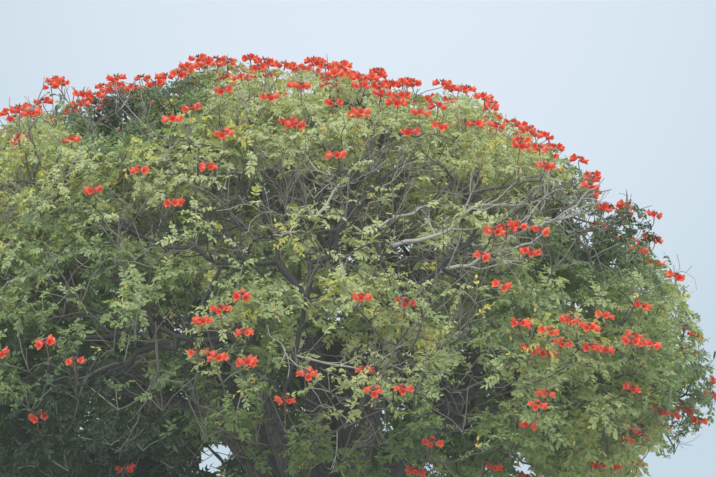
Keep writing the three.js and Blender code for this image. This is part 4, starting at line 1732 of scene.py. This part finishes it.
def leaf_shapes(leaves):
    """All kinds of feathery leaf. They get their colour where they are scattered."""
    shapes = []
    stalk = leaves.length - leaves.leaflet_length * LEAFLET.inset
    for kind in LEAF_KINDS:
        for _ in range(kind.count):
            number = len(shapes)
            shape = worked_out(
                leaflet_mesh(f"leaf_kind_{number:02d}", kind.is_shaped),
                feather_tree(),
                length=stalk * kind.length,
                bare=FEATHER.bare,
                pairs=leaves.pairs - kind.fewer_pairs,
                droop=LEAF_DROOPS[number % len(LEAF_DROOPS)],
                spread=math.radians(LEAFLET.spread),
                sag=FEATHER.sag,
                wobble=leaves.wobble,
                leaflet_length=leaves.leaflet_length * kind.growth,
                stalk_width=LEAFLET.stalk,
                seed=LEAFLET.seeds * number,
            )
            shapes.append(shape)
    return collection_of("leaf kinds", shapes)


# The tones of leaves from the darkest to the lightest, each for one step of painted light and shade
# as well as of the leaves' own colour
TONES = ("deep", "shade", "middle", "fresh", "light", "lime", "pale")
# Painted light and shade: where sprays of the front are darker or lighter, and bluer, than
# elsewhere, by where they are seen
PAINTED_LIGHT_AND_SHADE = table(
    "x z reach light blue",
    (4.7, 7.5, 1.0, -1.0, 0.45), (-3.45, 9.5, 0.85, -1.0, 0.5), (-2.15, 9.9, 0.4, -0.6, 0.4),
    (-4.4, 8.8, 0.9, 0.5, -0.3), (-2.0, 8.7, 1.0, 0.32, -0.1), (-3.6, 3.8, 2.0, -1.15, 0.0),
    (0.1, 4.0, 1.7, -0.55, -0.1), (2.9, 4.3, 0.8, -0.35, 0.0), (5.0, 3.9, 0.9, 0.4, -0.1),
    (-3.2, 7.5, 1.5, 0.2, -0.2), (0.7, 8.6, 1.6, 0.8, 0.1), (2.9, 7.2, 0.8, 0.2, -0.1),
    (0.1, 5.9, 1.0, 0.5, -0.1), (2.4, 8.9, 1.2, 0.45, 0.05), (-0.7, 9.5, 1.5, 0.25, 0.05),
    (3.8, 6.0, 1.5, 0.15, -0.2), (-0.4, 8.1, 0.8, 0.25, 0.0), (1.7, 5.7, 0.8, 0.3, 0.0),
    (3.1, 5.1, 0.8, 0.42, 0.0), (-1.1, 7.4, 1.0, 0.18, -0.1), (0.9, 6.1, 0.8, 0.15, -0.1),
    (2.0, 8.1, 0.8, 0.45, 0.05), (3.1, 8.4, 0.7, 0.25, 0.0), (-3.8, 6.5, 0.9, -0.22, 0.0),
    (-1.9, 6.1, 0.6, 0.2, -0.1), (-3.1, 8.1, 0.9, 0.4, 0.0), (1.2, 7.2, 1.3, -0.12, 0.2),
    (3.0, 6.0, 0.65, -0.6, 0.1), (-0.1, 4.4, 1.0, 0.7, -0.05), (-2.4, 5.1, 1.0, 0.75, -0.1),
    (-2.8, 6.7, 0.6, -0.3, 0.1), (4.7, 6.8, 0.8, 0.35, -0.05), (-3.2, 3.2, 1.8, -0.8, 0.0),
    (5.8, 4.5, 0.8, -0.4, 0.2),
)
TONE = Sizes(
    # Painted light: sprays further out of the crown are lighter by the exposure, inner ones darker
    darkest=0.1, step=0.17, base=0.46, exposure=0.24,
    exposed=0.25,  # so far above the innermost level of the clumps
    # the painted light of the inner sprays at the back, for the light that comes through them
    inner=0.9,
    tinted=1.5,  # the painted light and shade reach this far back, and further in the low part of the crown
    low=4.6, low_tinted=4.0, patch=0.5, patch_size=0.75, patch_shift=Vector((3.1, 0, 0)),
    speck=0.34, youth=0.2, own=0.12,
    yellow_share=0.07,
    golden_share=0.06,  # of the lit sprays
    golden_from=0.6, blue_share=0.1, blue_size=0.5, blue_from=0.1,
    blue_patches=(2, 0.4),  # the factors in and between patches of bluish leaves
    blue_tones=("shade", "middle", "fresh"), seed=8000,
)


def tone_of(place, roll):
    """How light a spray is painted, from 0 to about 1, and how likely it is to be bluish."""
    # Painted light and shade: sprays further out in the crown are lighter, inner ones darker
    exposure = (leafy_level(place) - FRONT_CLUMPS.innermost) / TONE.exposed
    exposure = min(1.0, max(0.0, exposure))
    # Sprays at the back are painted light, for the light that comes through the leaves there
    if place.y > 0:
        exposure = 1.0 if leafy_level(place) > LEAF.inner else TONE.inner
    patch = noise.noise(place * TONE.patch_size + TONE.patch_shift)
    light = TONE.base + TONE.exposure * exposure + TONE.patch * patch + stray(roll, TONE.speck)
    is_between = noise.noise(place * TONE.blue_size) <= TONE.blue_from
    blue = TONE.blue_share * TONE.blue_patches[is_between]
    seen = seen_at(place)
    # Painted light and shade by where the spray is seen
    if place.y < (TONE.low_tinted if place.z < TONE.low else TONE.tinted):
        for tint in PAINTED_LIGHT_AND_SHADE:
            away = (seen.x - tint.x) ** 2 + (seen.z - tint.z) ** 2
            share = math.exp(-away / tint.reach**2)
            light += tint.light * share
            blue += tint.blue * share
    return light, blue


def leaves_by_tone(grown):
    """The leaves of each tone, most of them steps of painted light and shade, dealt out by spray.
    """
    roll = dice(TONE.seed)
    sprays = {tone: [] for tone in (*TONES, "blue", "golden", "yellow")}
    first_scrap = LEAF.outer_kinds + LEAF.plain_kinds + LEAF.broad_kinds
    for shoot in grown.shoots:
        light, blue = tone_of(shoot.tip, roll)
        is_blue = roll() < blue
        is_golden = roll() < TONE.golden_share and light > TONE.golden_from
        for leaf in shoot.leaves:
            own = light + TONE.youth * (0.5 - leaf.age) + stray(roll, TONE.own)
            index = int((own - TONE.darkest) / TONE.step) + 1
            tone = TONES[min(len(TONES) - 1, max(0, index))]
            if is_blue and tone in TONE.blue_tones:
                tone = "blue"
            if is_golden:
                tone = "golden"
            if roll() < TONE.yellow_share * min(1.0, light / TONE.golden_from):
                leaf = copy(leaf)
                leaf.kind = first_scrap + int(LEAF.scrap_kinds * roll())
                tone = "yellow"
            sprays[tone].append(leaf)
    return sprays


class CrownSettings(bpy.types.PropertyGroup):
    """How full the crown is."""

    clump_spacing: length_of(
        "Clump spacing", "Least distance between two clumps of leafy shoots", 0.6, 0.3
    )
    shoots_per_clump: count_of("Shoots", "Leafy shoots in a clump", 4, 1)
    leaves_per_shoot: count_of("Leaves", "Feathery leaves on a shoot", 7, 1)


class LeafSettings(bpy.types.PropertyGroup):
    """The feathery leaves."""

    length: length_of("Length", "Length of a whole leaf", 0.34, 0.1)
    leaflet_length: length_of("Leaflet", "Length of the longest leaflets", 0.1, 0.02)
    pairs: count_of("Pairs", "Pairs of leaflets on a leaf", 5, 3)
    wobble: FloatProperty(
        name="Wobble",
        description="How far leaflets turn at random",
        default=math.radians(34),
        min=0.0,
        subtype="ANGLE",
    )
    # Tones from deep to pale: steps of painted shade and light as well as the leaves' own colour
    deep: colour_of("deep leaves", (0.024, 0.038, 0.013))
    shade: colour_of("shaded leaves", (0.098, 0.14, 0.042))
    middle: colour_of("middle leaves", (0.155, 0.2, 0.056))
    fresh: colour_of("fresh leaves", (0.205, 0.26, 0.082))
    light: colour_of("light leaves", (0.28, 0.33, 0.126))
    lime: colour_of("lime leaves", (0.355, 0.39, 0.148))
    pale: colour_of("pale leaves", (0.425, 0.455, 0.19))
    blue: colour_of("bluish leaves", (0.095, 0.145, 0.067))
    golden: colour_of("golden leaves", (0.52, 0.47, 0.1))
    yellow: colour_of("yellow leaves", (0.68, 0.5, 0.12))


class TULIPTREE_OT_leaves(bpy.types.Operator):
    """Make the feathery leaves, one piece for each tone, most of them steps of painted light and
    shade
    """

    bl_idname = "tulip_tree.leaves"
    bl_label = "Leaves"

    def execute(self, context):
        settings = context.scene.tulip_tree
        sprays = leaves_by_tone(growth_from(settings))
        shapes = leaf_shapes(settings.leaves)
        for tone, leaves in sprays.items():
            material = leaf_material(f"{tone} leaf", getattr(settings.leaves, tone))
            piece = scattered(f"leaves_{tone}", leaves, shapes, material)
            seat(piece)
        discard(shapes)
        return {"FINISHED"}


# Blossom and pods

HEAD = Sizes(
    outermost=0.88,  # a head's shoot reaches at least this level of the crown
    least_share=0.08,
    most=3.0,  # heads on a clump
    base=0.3,  # how richly the crown flowers, and how this grows with the way out of the crown
    above=1.12, behind=0.1, right=0.12,
    grouping=0.75,  # the size of the crown's groups of heads, in turns for each metre
    group_shift=Vector((0, 0, 7.7)), contrast=0.9,
    unevenness=0.03,  # of the level that heads reach
    outward=0.3,  # how far heads face out of the crown and up
    upward=0.9, stalk=0.21, stalks=(0.8, 1.5), longest_stalk=0.6,
    over_stalk=0.06,  # kept free above a stalk, and the length of the shortest one
    stalk_radius=0.009, stalk_top=1.5, bow=0.5, flowers=6, more_flowers=2.6,
    flower_sizes=(0.7, 1.1),
    tiers=(76, 93),  # the angle between the flowers of each tier and the head's axis
    opening_stray=9, turn_stray=0.4, ring=0.045, buds=7, bud_sizes=(0.8, 1.2),
    bud_lift=0.02, bud_opening=68, bright_share=0.4, flares=(0.0, 0.07), skin=0.995, seed=9000,
)
# Where the crown flowers more or less than elsewhere
RICH_PLACES = table(
    "middle reach rich",
    ((0.4, -4.0, 7.9), 2.2, -0.62), ((-2.2, -4.2, 8.0), 1.5, -0.45), ((2.9, -5.0, 5.3), 1.5, 0.9),
    ((5.0, -3.0, 6.1), 0.9, -0.5), ((6.0, -1.5, 4.6), 1.0, -0.6), ((-4.6, -2.5, 8.9), 1.4, 0.3),
    ((1.9, -3.0, 9.2), 0.7, -0.4), ((-3.0, -4.8, 4.9), 1.5, 0.1), ((4.1, -1.8, 8.6), 1.2, -0.9),
    ((5.0, -1.2, 7.8), 1.0, -0.5), ((5.9, -1.4, 6.0), 1.3, -0.75), ((-2.4, -2.6, 9.3), 0.8, 0.5),
    ((0.1, -2.9, 9.4), 0.7, 0.6), ((-4.8, -3.5, 5.8), 1.0, -0.4), ((-1.9, -5.3, 5.8), 0.6, 0.3),
    ((-0.4, -5.8, 4.5), 0.8, 0.25), ((1.8, -5.2, 4.2), 1.0, -0.3), ((2.2, -4.2, 7.8), 1.0, -0.4),
)
# Flowers have unit length along X and are scattered at their real size.
FLOWER = Sizes(
    lobes=5,
    belly=(0.36, 0.34),  # how far along and how wide
    notch=(0.88, 0.42), lobe=(0.99, 0.47), tip=(1.0, 0.43),
    corner=0.24,  # of a lobe, in turns from notch to notch
    rim=(0.06, 1.1),
)
# Buds and pods go through stations of x, z and radius, with these as shares of the length, and a
# pod's radii as shares of its own
BUD = Sizes(stations=((0.6, 0.07, 0.2),), sides=4, length=0.07, roughness=(0.55, 0.75))
POD = Sizes(
    count=60, sides=5, length=0.19, lengths=(0.75, 1.15), room=1.2, radius=0.02, leaning=28,
    stations=((0.2, 0.0, 0.7), (0.5, 0.03, 1.0), (0.8, 0.02, 0.65)), roughness=(0.6, 0.8),
    seed=9500,
)


def ring_points(x, radius, count, turn=0.0):
    """Points of a ring square to X."""
    angles = [2 * math.pi * (i + turn) / count for i in range(count)]
    return [(x, radius * math.cos(a), radius * math.sin(a)) for a in angles]


def flower_meshes(flare):
    """An open, cup-shaped flower with five round lobes, and the pale rims of its lobes."""
    lobes = FLOWER.lobes
    along, wide = FLOWER.lobe
    starts = ring_points(along, wide + flare, lobes, FLOWER.corner)
    ends = ring_points(along, wide + flare, lobes, 1 - FLOWER.corner)
    tips = ring_points(FLOWER.tip[0], FLOWER.tip[1] + flare, lobes, 0.5)
    bellies = ring_points(*FLOWER.belly, lobes)
    notches = ring_points(*FLOWER.notch, lobes)
    vertices = [(0.0, 0.0, 0.0), *bellies, *notches, *starts, *ends]
    belly, notch, start, end = range(1, 4 * lobes, lobes)
    outwards, wider = FLOWER.rim
    faces, rims, rim_points = [], [], []
    for i in range(lobes):
        k = (i + 1) % lobes
        faces.append((0, belly + k, belly + i))
        faces.append((belly + i, belly + k, notch + k, notch + i))
        faces.append((notch + i, notch + k, end + i, start + i))
        rims.append((3 * i, 3 * i + 1, 3 * i + 2))
        x, y, z = tips[i]
        rim_points += [starts[i], ends[i], (x + outwards, y * wider, z * wider)]
    return (vertices, faces), (rim_points, rims)


def spindle_mesh(stations, sides):
    """A closed form along X, pointed at both ends, through stations of x, z and radius."""
    vertices = [(0.0, 0.0, 0.0)]
    for x, z, radius in stations:
        vertices += [(px, py, pz + z) for px, py, pz in ring_points(x, radius, sides)]
    vertices.append((1.0, 0.0, 2.0 * stations[-1][1]))
    last = len(vertices) - 1
    ring = last - sides
    foot = [(0, 1 + (k + 1) % sides, 1 + k) for k in range(sides)]
    top = [(last, ring + k, ring + (k + 1) % sides) for k in range(sides)]
    return vertices, [*foot, *walls(1, len(stations), sides), *top]


def scatter_spindles(name, spots, shape, material, length):
    """One piece of spindles, one on each spot."""
    vertices, faces = shape
    shapes = collection_of(f"{name} shapes", [new_piece(f"{name}_shape", vertices, (), faces)])
    seat(scattered(name, spots, shapes, material, length, True))
    discard(shapes)


def flowering(place):
    """How richly the crown flowers, in groups: most on top, and least low on the front."""
    outward = (place - CROWN.middle).normalized()
    rich = HEAD.base + HEAD.above * max(0.0, outward.z) ** 2
    rich += HEAD.behind * outward.y + HEAD.right * outward.x
    rich += HEAD.contrast * noise.noise(place * HEAD.grouping + HEAD.group_shift)
    for spot in RICH_PLACES:
        away = (place - Vector(spot.middle)).length_squared
        rich += spot.rich * math.exp(-away / spot.reach**2)
    return min(1.0, max(0.0, rich))


def flower_shoots(grown, spacing):
    """The shoots that flower: outer ones, in small groups, kept apart from one another."""
    roll = dice(HEAD.seed)
    chosen = []
    for clump in sorted(grown.clumps, key=lambda clump: -leafy_level(clump.place)):
        rich = flowering(clump.place)
        if roll() > mix(HEAD.least_share, 1.0, rich):
            continue
        left = 1 + int(HEAD.most * rich * roll())
        for shoot in sorted(clump.shoots, key=lambda shoot: -leafy_level(shoot.tip)):
            is_outer = HEAD.outermost < leafy_level(shoot.tip) < HEAD.skin
            is_clear = all((shoot.tip - other.tip).length > spacing for other in chosen)
            if left > 0 and is_outer and is_clear:
                chosen.append(shoot)
                left -= 1
    return chosen


def heads_of(grown, spacing):
    """The stalks, flowers and buds of all heads."""
    roll = dice(HEAD.seed + 1)
    heads = Sizes(stalks=[], flowers=[], buds=[])
    thin = HEAD.stalk_radius
    for shoot in flower_shoots(grown, spacing):
        outward = (shoot.tip - CROWN.middle).normalized()
        axis = (outward * HEAD.outward + UP * HEAD.upward).normalized()
        skin = HEAD.skin - HEAD.unevenness * roll()
        longest = leafy_room(shoot.tip, axis, HEAD.longest_stalk, skin)
        longest = max(HEAD.over_stalk, longest - HEAD.over_stalk)
        stalk = min(HEAD.stalk * mix(*HEAD.stalks, roll()), longest)
        top = shoot.tip + axis * stalk
        bend = Bend(shoot.tip, shoot.tip + shoot.axis * HEAD.bow * stalk, top)
        points = [bend.point(i / 2) for i in range(3)]
        heads.stalks.append(Sizes(points=points, radii=[thin, thin, thin * HEAD.stalk_top]))
        turn = any_turn(roll)
        count = HEAD.flowers + int(HEAD.more_flowers * roll()) - 1
        for i in range(count):
            around = turn + 2 * math.pi * (i + stray(roll, HEAD.turn_stray)) / count
            tier = HEAD.tiers[i % len(HEAD.tiers)]
            opening = math.radians(tier + stray(roll, HEAD.opening_stray))
            heading = leaning(axis, opening, around)
            place = top + leaning(axis, math.pi / 2, around) * HEAD.ring
            size = mix(*HEAD.flower_sizes, roll())
            kind = int(len(HEAD.flares) * roll())
            heads.flowers.append(spot(place, heading, axis, size, kind))
        for i in range(HEAD.buds):
            opening = math.radians(HEAD.bud_opening) * math.sqrt((i + 0.5) / HEAD.buds)
            heading = leaning(axis, opening, turn + i * GOLDEN_TURN)
            size = mix(*HEAD.bud_sizes, roll())
            heads.buds.append(spot(top + axis * HEAD.bud_lift, heading, -axis, size))
    return heads


class BlossomSettings(bpy.types.PropertyGroup):
    """Flower heads and pods."""

    head_spacing: length_of("Head spacing", "Least distance between two flower heads", 0.3, 0.1)
    flower_length: length_of("Flower", "Length of an open flower", 0.106)
    petal_colour: colour_of("most flowers", (0.87, 0.052, 0.011), "Petals")
    bright_colour: colour_of("the more orange flowers", (0.92, 0.1, 0.02), "Bright petals")
    rim_colour: colour_of("the petals' rims", (0.95, 0.28, 0.07), "Rims")
    bud_colour: colour_of("the buds", (0.19, 0.065, 0.035), "Buds")
    pod_colour: colour_of("the pods", (0.07, 0.048, 0.032), "Pods")


class TULIPTREE_OT_blossom(bpy.types.Operator):
    """Make the flower heads, with their stalks and buds"""

    bl_idname = "tulip_tree.blossom"
    bl_label = "Blossom"

    def execute(self, context):
        settings = context.scene.tulip_tree
        blossom = settings.blossom
        heads = heads_of(growth_from(settings), blossom.head_spacing)
        petals, rims = [], []
        for i, flare in enumerate(HEAD.flares):
            (points, faces), (rim_points, rim_faces) = flower_meshes(flare)
            petals.append(new_piece(f"flower_kind_{i}", points, (), faces))
            rims.append(new_piece(f"rim_kind_{i}", rim_points, (), rim_faces))
        petals = collection_of("flower kinds", petals)
        rims = collection_of("rim kinds", rims)
        roll = dice(HEAD.seed + 2)
        bright = [flower for flower in heads.flowers if roll() < HEAD.bright_share]
        scarlet = [flower for flower in heads.flowers if flower not in bright]
        pieces = (
            ("flowers_scarlet", scarlet, petals, "scarlet petal", blossom.petal_colour),
            ("flowers_orange", bright, petals, "orange petal", blossom.bright_colour),
            ("flower_rims", heads.flowers, rims, "petal rim", blossom.rim_colour),
        )
        for name, flowers, shapes, finish, colour in pieces:
            material = petal_material(finish, colour)
            piece = scattered(name, flowers, shapes, material, blossom.flower_length, True)
            seat(piece)
        discard(petals)
        discard(rims)
        self.make_buds(heads, blossom)
        return {"FINISHED"}

    def make_buds(self, heads, blossom):
        """The brown buds in the middle of each head, and the stalks under the heads."""
        material = wood_material("velvet bud", blossom.bud_colour, BUD.roughness)
        shape = spindle_mesh(BUD.stations, BUD.sides)
        scatter_spindles("buds", heads.buds, shape, material, BUD.length)
        seat(tubes("flower_stalks", heads.stalks, 3, material))


def pod_spots(grown):
    """Places for pods on outer shoots, one or two to a shoot."""
    roll = dice(POD.seed)
    shoots = [shoot for shoot in grown.shoots if leafy_level(shoot.tip) > HEAD.outermost]
    spots = []
    while len(spots) < POD.count:
        place = shoots[int(roll() * len(shoots))].tip
        for _ in range(1 + int(2 * roll())):
            heading = leaning(UP, math.radians(POD.leaning) * roll(), any_turn(roll))
            if leafy_level(place + heading * POD.length * POD.room) < HEAD.skin:
                size = mix(*POD.lengths, roll())
                facing = leaning(heading, math.pi / 2, any_turn(roll))
                spots.append(spot(place, heading, facing, size))
    return spots


class TULIPTREE_OT_pods(bpy.types.Operator):
    """Make the dark pods that stand up from some shoots"""

    bl_idname = "tulip_tree.pods"
    bl_label = "Pods"

    def execute(self, context):
        settings = context.scene.tulip_tree
        radius = POD.radius / POD.length
        shape = spindle_mesh([(x, z, radius * share) for x, z, share in POD.stations], POD.sides)
        material = wood_material("pod husk", settings.blossom.pod_colour, POD.roughness)
        scatter_spindles("pods", pod_spots(growth_from(settings)), shape, material, POD.length)
        return {"FINISHED"}


# Stage

class StageSettings(bpy.types.PropertyGroup):
    """Camera, light and floor."""

    distance: length_of("Distance", "From the camera to the tree", 60.0)
    lens: FloatProperty(name="Lens", description="Focal length", default=189.4, unit="CAMERA")
    sky_colour: colour_of("the sky", (0.534, 0.666, 0.765), "Sky")
    glow_colour: colour_of("the sky where it is brightest", (0.715, 0.819, 0.931), "Glow")
    sky_strength: factor_of("Sky strength", "Brightness of the sky", 1.0)
    overhead: factor_of("Overhead", "Brightness overhead as a share of that near the horizon", 2.6)
    light_strength: factor_of("Light strength", "Brightness of the soft light", 2.4)
    gamma: factor_of("Gamma", "Lightness of the middle tones", 1.12, 0.1)
    haze: FloatVectorProperty(
        name="Haze", description="Light that the air adds", default=(0.015, 0.018, 0.018)
    )
    floor_colour: colour_of("the floor", (0.42, 0.42, 0.41), "Floor")


# The view: the photo's scale and size in pixels, the column of the trunk in it, and the heights
# of its bottom edge, on the plane of the trunk, and of the camera
METRES_PER_PIXEL = 0.016
PHOTO_SIZE = (716, 477)
TRUNK_COLUMN = 325
BOTTOM_HEIGHT = 3.6
EYE_HEIGHT = 1.6
# The sky is brightest over the tree's top, within so many degrees.
GLOW = Sizes(direction=Vector((0.007, 0.986, 0.164)), reach=7.5)
CLIP_END = 500.0
# The sky gets brighter between these heights, as shares of the way up
SKY_RISE = (0.2, 0.9)
# The soft light's size and the way it falls, in degrees
LIGHT = Sizes(size=75, down=32, turn=-18, colour=(1.0, 0.985, 0.95))
FLOOR_REACH = 120.0


class TULIPTREE_OT_stage(bpy.types.Operator):
    """Set up the camera, the soft light, the sky and the floor"""

    bl_idname = "tulip_tree.stage"
    bl_label = "Stage"

    def execute(self, context):
        stage = context.scene.tulip_tree.stage
        self.make_camera(context, stage)
        self.make_light(context, stage)
        self.make_sky(context, stage)
        self.make_floor(context, stage)
        view = context.scene.view_settings
        view.view_transform = "Standard"
        view.gamma = stage.gamma
        view.use_curve_mapping = True
        view.curve_mapping.black_level = [-part for part in stage.haze]
        view.curve_mapping.update()
        return {"FINISHED"}

    def make_camera(self, context, stage):
        aside = (PHOTO_SIZE[0] / 2 - TRUNK_COLUMN) * METRES_PER_PIXEL
        aim = Vector((aside, 0, BOTTOM_HEIGHT + PHOTO_SIZE[1] / 2 * METRES_PER_PIXEL))
        eye = Vector((aside, -stage.distance, EYE_HEIGHT))
        camera = bpy.data.objects.new("camera", bpy.data.cameras.new("camera"))
        camera.location = eye
        camera.rotation_euler = (aim - eye).to_track_quat("-Z", "Y").to_euler()
        camera.data.lens = stage.lens
        camera.data.clip_end = CLIP_END
        context.scene.collection.objects.link(camera)
        context.scene.camera = camera

    def make_light(self, context, stage):
        light = bpy.data.lights.new("soft light", "SUN")
        light.energy = stage.light_strength
        light.angle = math.radians(LIGHT.size)
        light.color = LIGHT.colour
        lamp = bpy.data.objects.new("soft light", light)
        lamp.rotation_euler = (math.radians(LIGHT.down), 0, math.radians(LIGHT.turn))
        context.scene.collection.objects.link(lamp)

    def make_sky(self, context, stage):
        world = bpy.data.worlds.new("overcast sky")
        world.use_nodes = True
        tree = world.node_tree
        background = tree.nodes["Background"]
        direction = add(tree, "ShaderNodeTexCoord").outputs["Generated"]
        nearness = vector_of(tree, "DOT_PRODUCT", direction, GLOW.direction)
        edge = math.cos(math.radians(GLOW.reach))
        colour = blend_of(tree, nearness, stage.sky_colour, stage.glow_colour, edge, 1.0)
        tree.links.new(colour, background.inputs["Color"])
        height = add(tree, "ShaderNodeSeparateXYZ", {"Vector": direction}).outputs["Z"]
        overhead = stage.sky_strength * stage.overhead
        brightness = ranged(tree, height, *SKY_RISE, stage.sky_strength, overhead)
        tree.links.new(brightness, background.inputs["Strength"])
        context.scene.world = world

    def make_floor(self, context, stage):
        signs = ((-1, -1), (1, -1), (1, 1), (-1, 1))
        corners = [(x * FLOOR_REACH, y * FLOOR_REACH, 0) for x, y in signs]
        floor = new_piece("floor", corners, (), [(0, 1, 2, 3)])
        material = new_material("plain floor", stage.floor_colour, roughness=0.9)[0]
        floor.data.materials.append(material)


# The add-on

class TreeSettings(bpy.types.PropertyGroup):
    """All settings of the tree."""

    crown: PointerProperty(type=CrownSettings)
    bark: PointerProperty(type=BarkSettings)
    twigs: PointerProperty(type=TwigSettings)
    leaves: PointerProperty(type=LeafSettings)
    blossom: PointerProperty(type=BlossomSettings)
    stage: PointerProperty(type=StageSettings)


class TULIPTREE_PT_panel(bpy.types.Panel):
    """The tree's steps, in the order in which they are made"""

    bl_label = "Tulip Tree"
    bl_idname = "TULIPTREE_PT_panel"
    bl_space_type = "VIEW_3D"
    bl_region_type = "UI"
    bl_category = "Tulip Tree"

    def draw(self, context):
        for operator in OPERATORS:
            self.layout.operator(operator.bl_idname)


OPERATORS = (
    TULIPTREE_OT_stage,
    TULIPTREE_OT_bark,
    TULIPTREE_OT_twigs,
    TULIPTREE_OT_leaves,
    TULIPTREE_OT_blossom,
    TULIPTREE_OT_pods,
)
CLASSES = (
    CrownSettings,
    BarkSettings,
    TwigSettings,
    LeafSettings,
    BlossomSettings,
    StageSettings,
    TreeSettings,
    *OPERATORS,
    TULIPTREE_PT_panel,
)


def register():
    for each in CLASSES:
        bpy.utils.register_class(each)
    bpy.types.Scene.tulip_tree = PointerProperty(type=TreeSettings)


def unregister():
    del bpy.types.Scene.tulip_tree
    for each in reversed(CLASSES):
        bpy.utils.unregister_class(each)


def main():
    register()
    bpy.ops.tulip_tree.stage()
    bpy.ops.tulip_tree.bark()
    bpy.ops.tulip_tree.twigs()
    bpy.ops.tulip_tree.leaves()
    bpy.ops.tulip_tree.blossom()
    bpy.ops.tulip_tree.pods()
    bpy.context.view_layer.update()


if __name__ == "__main__":
    main()
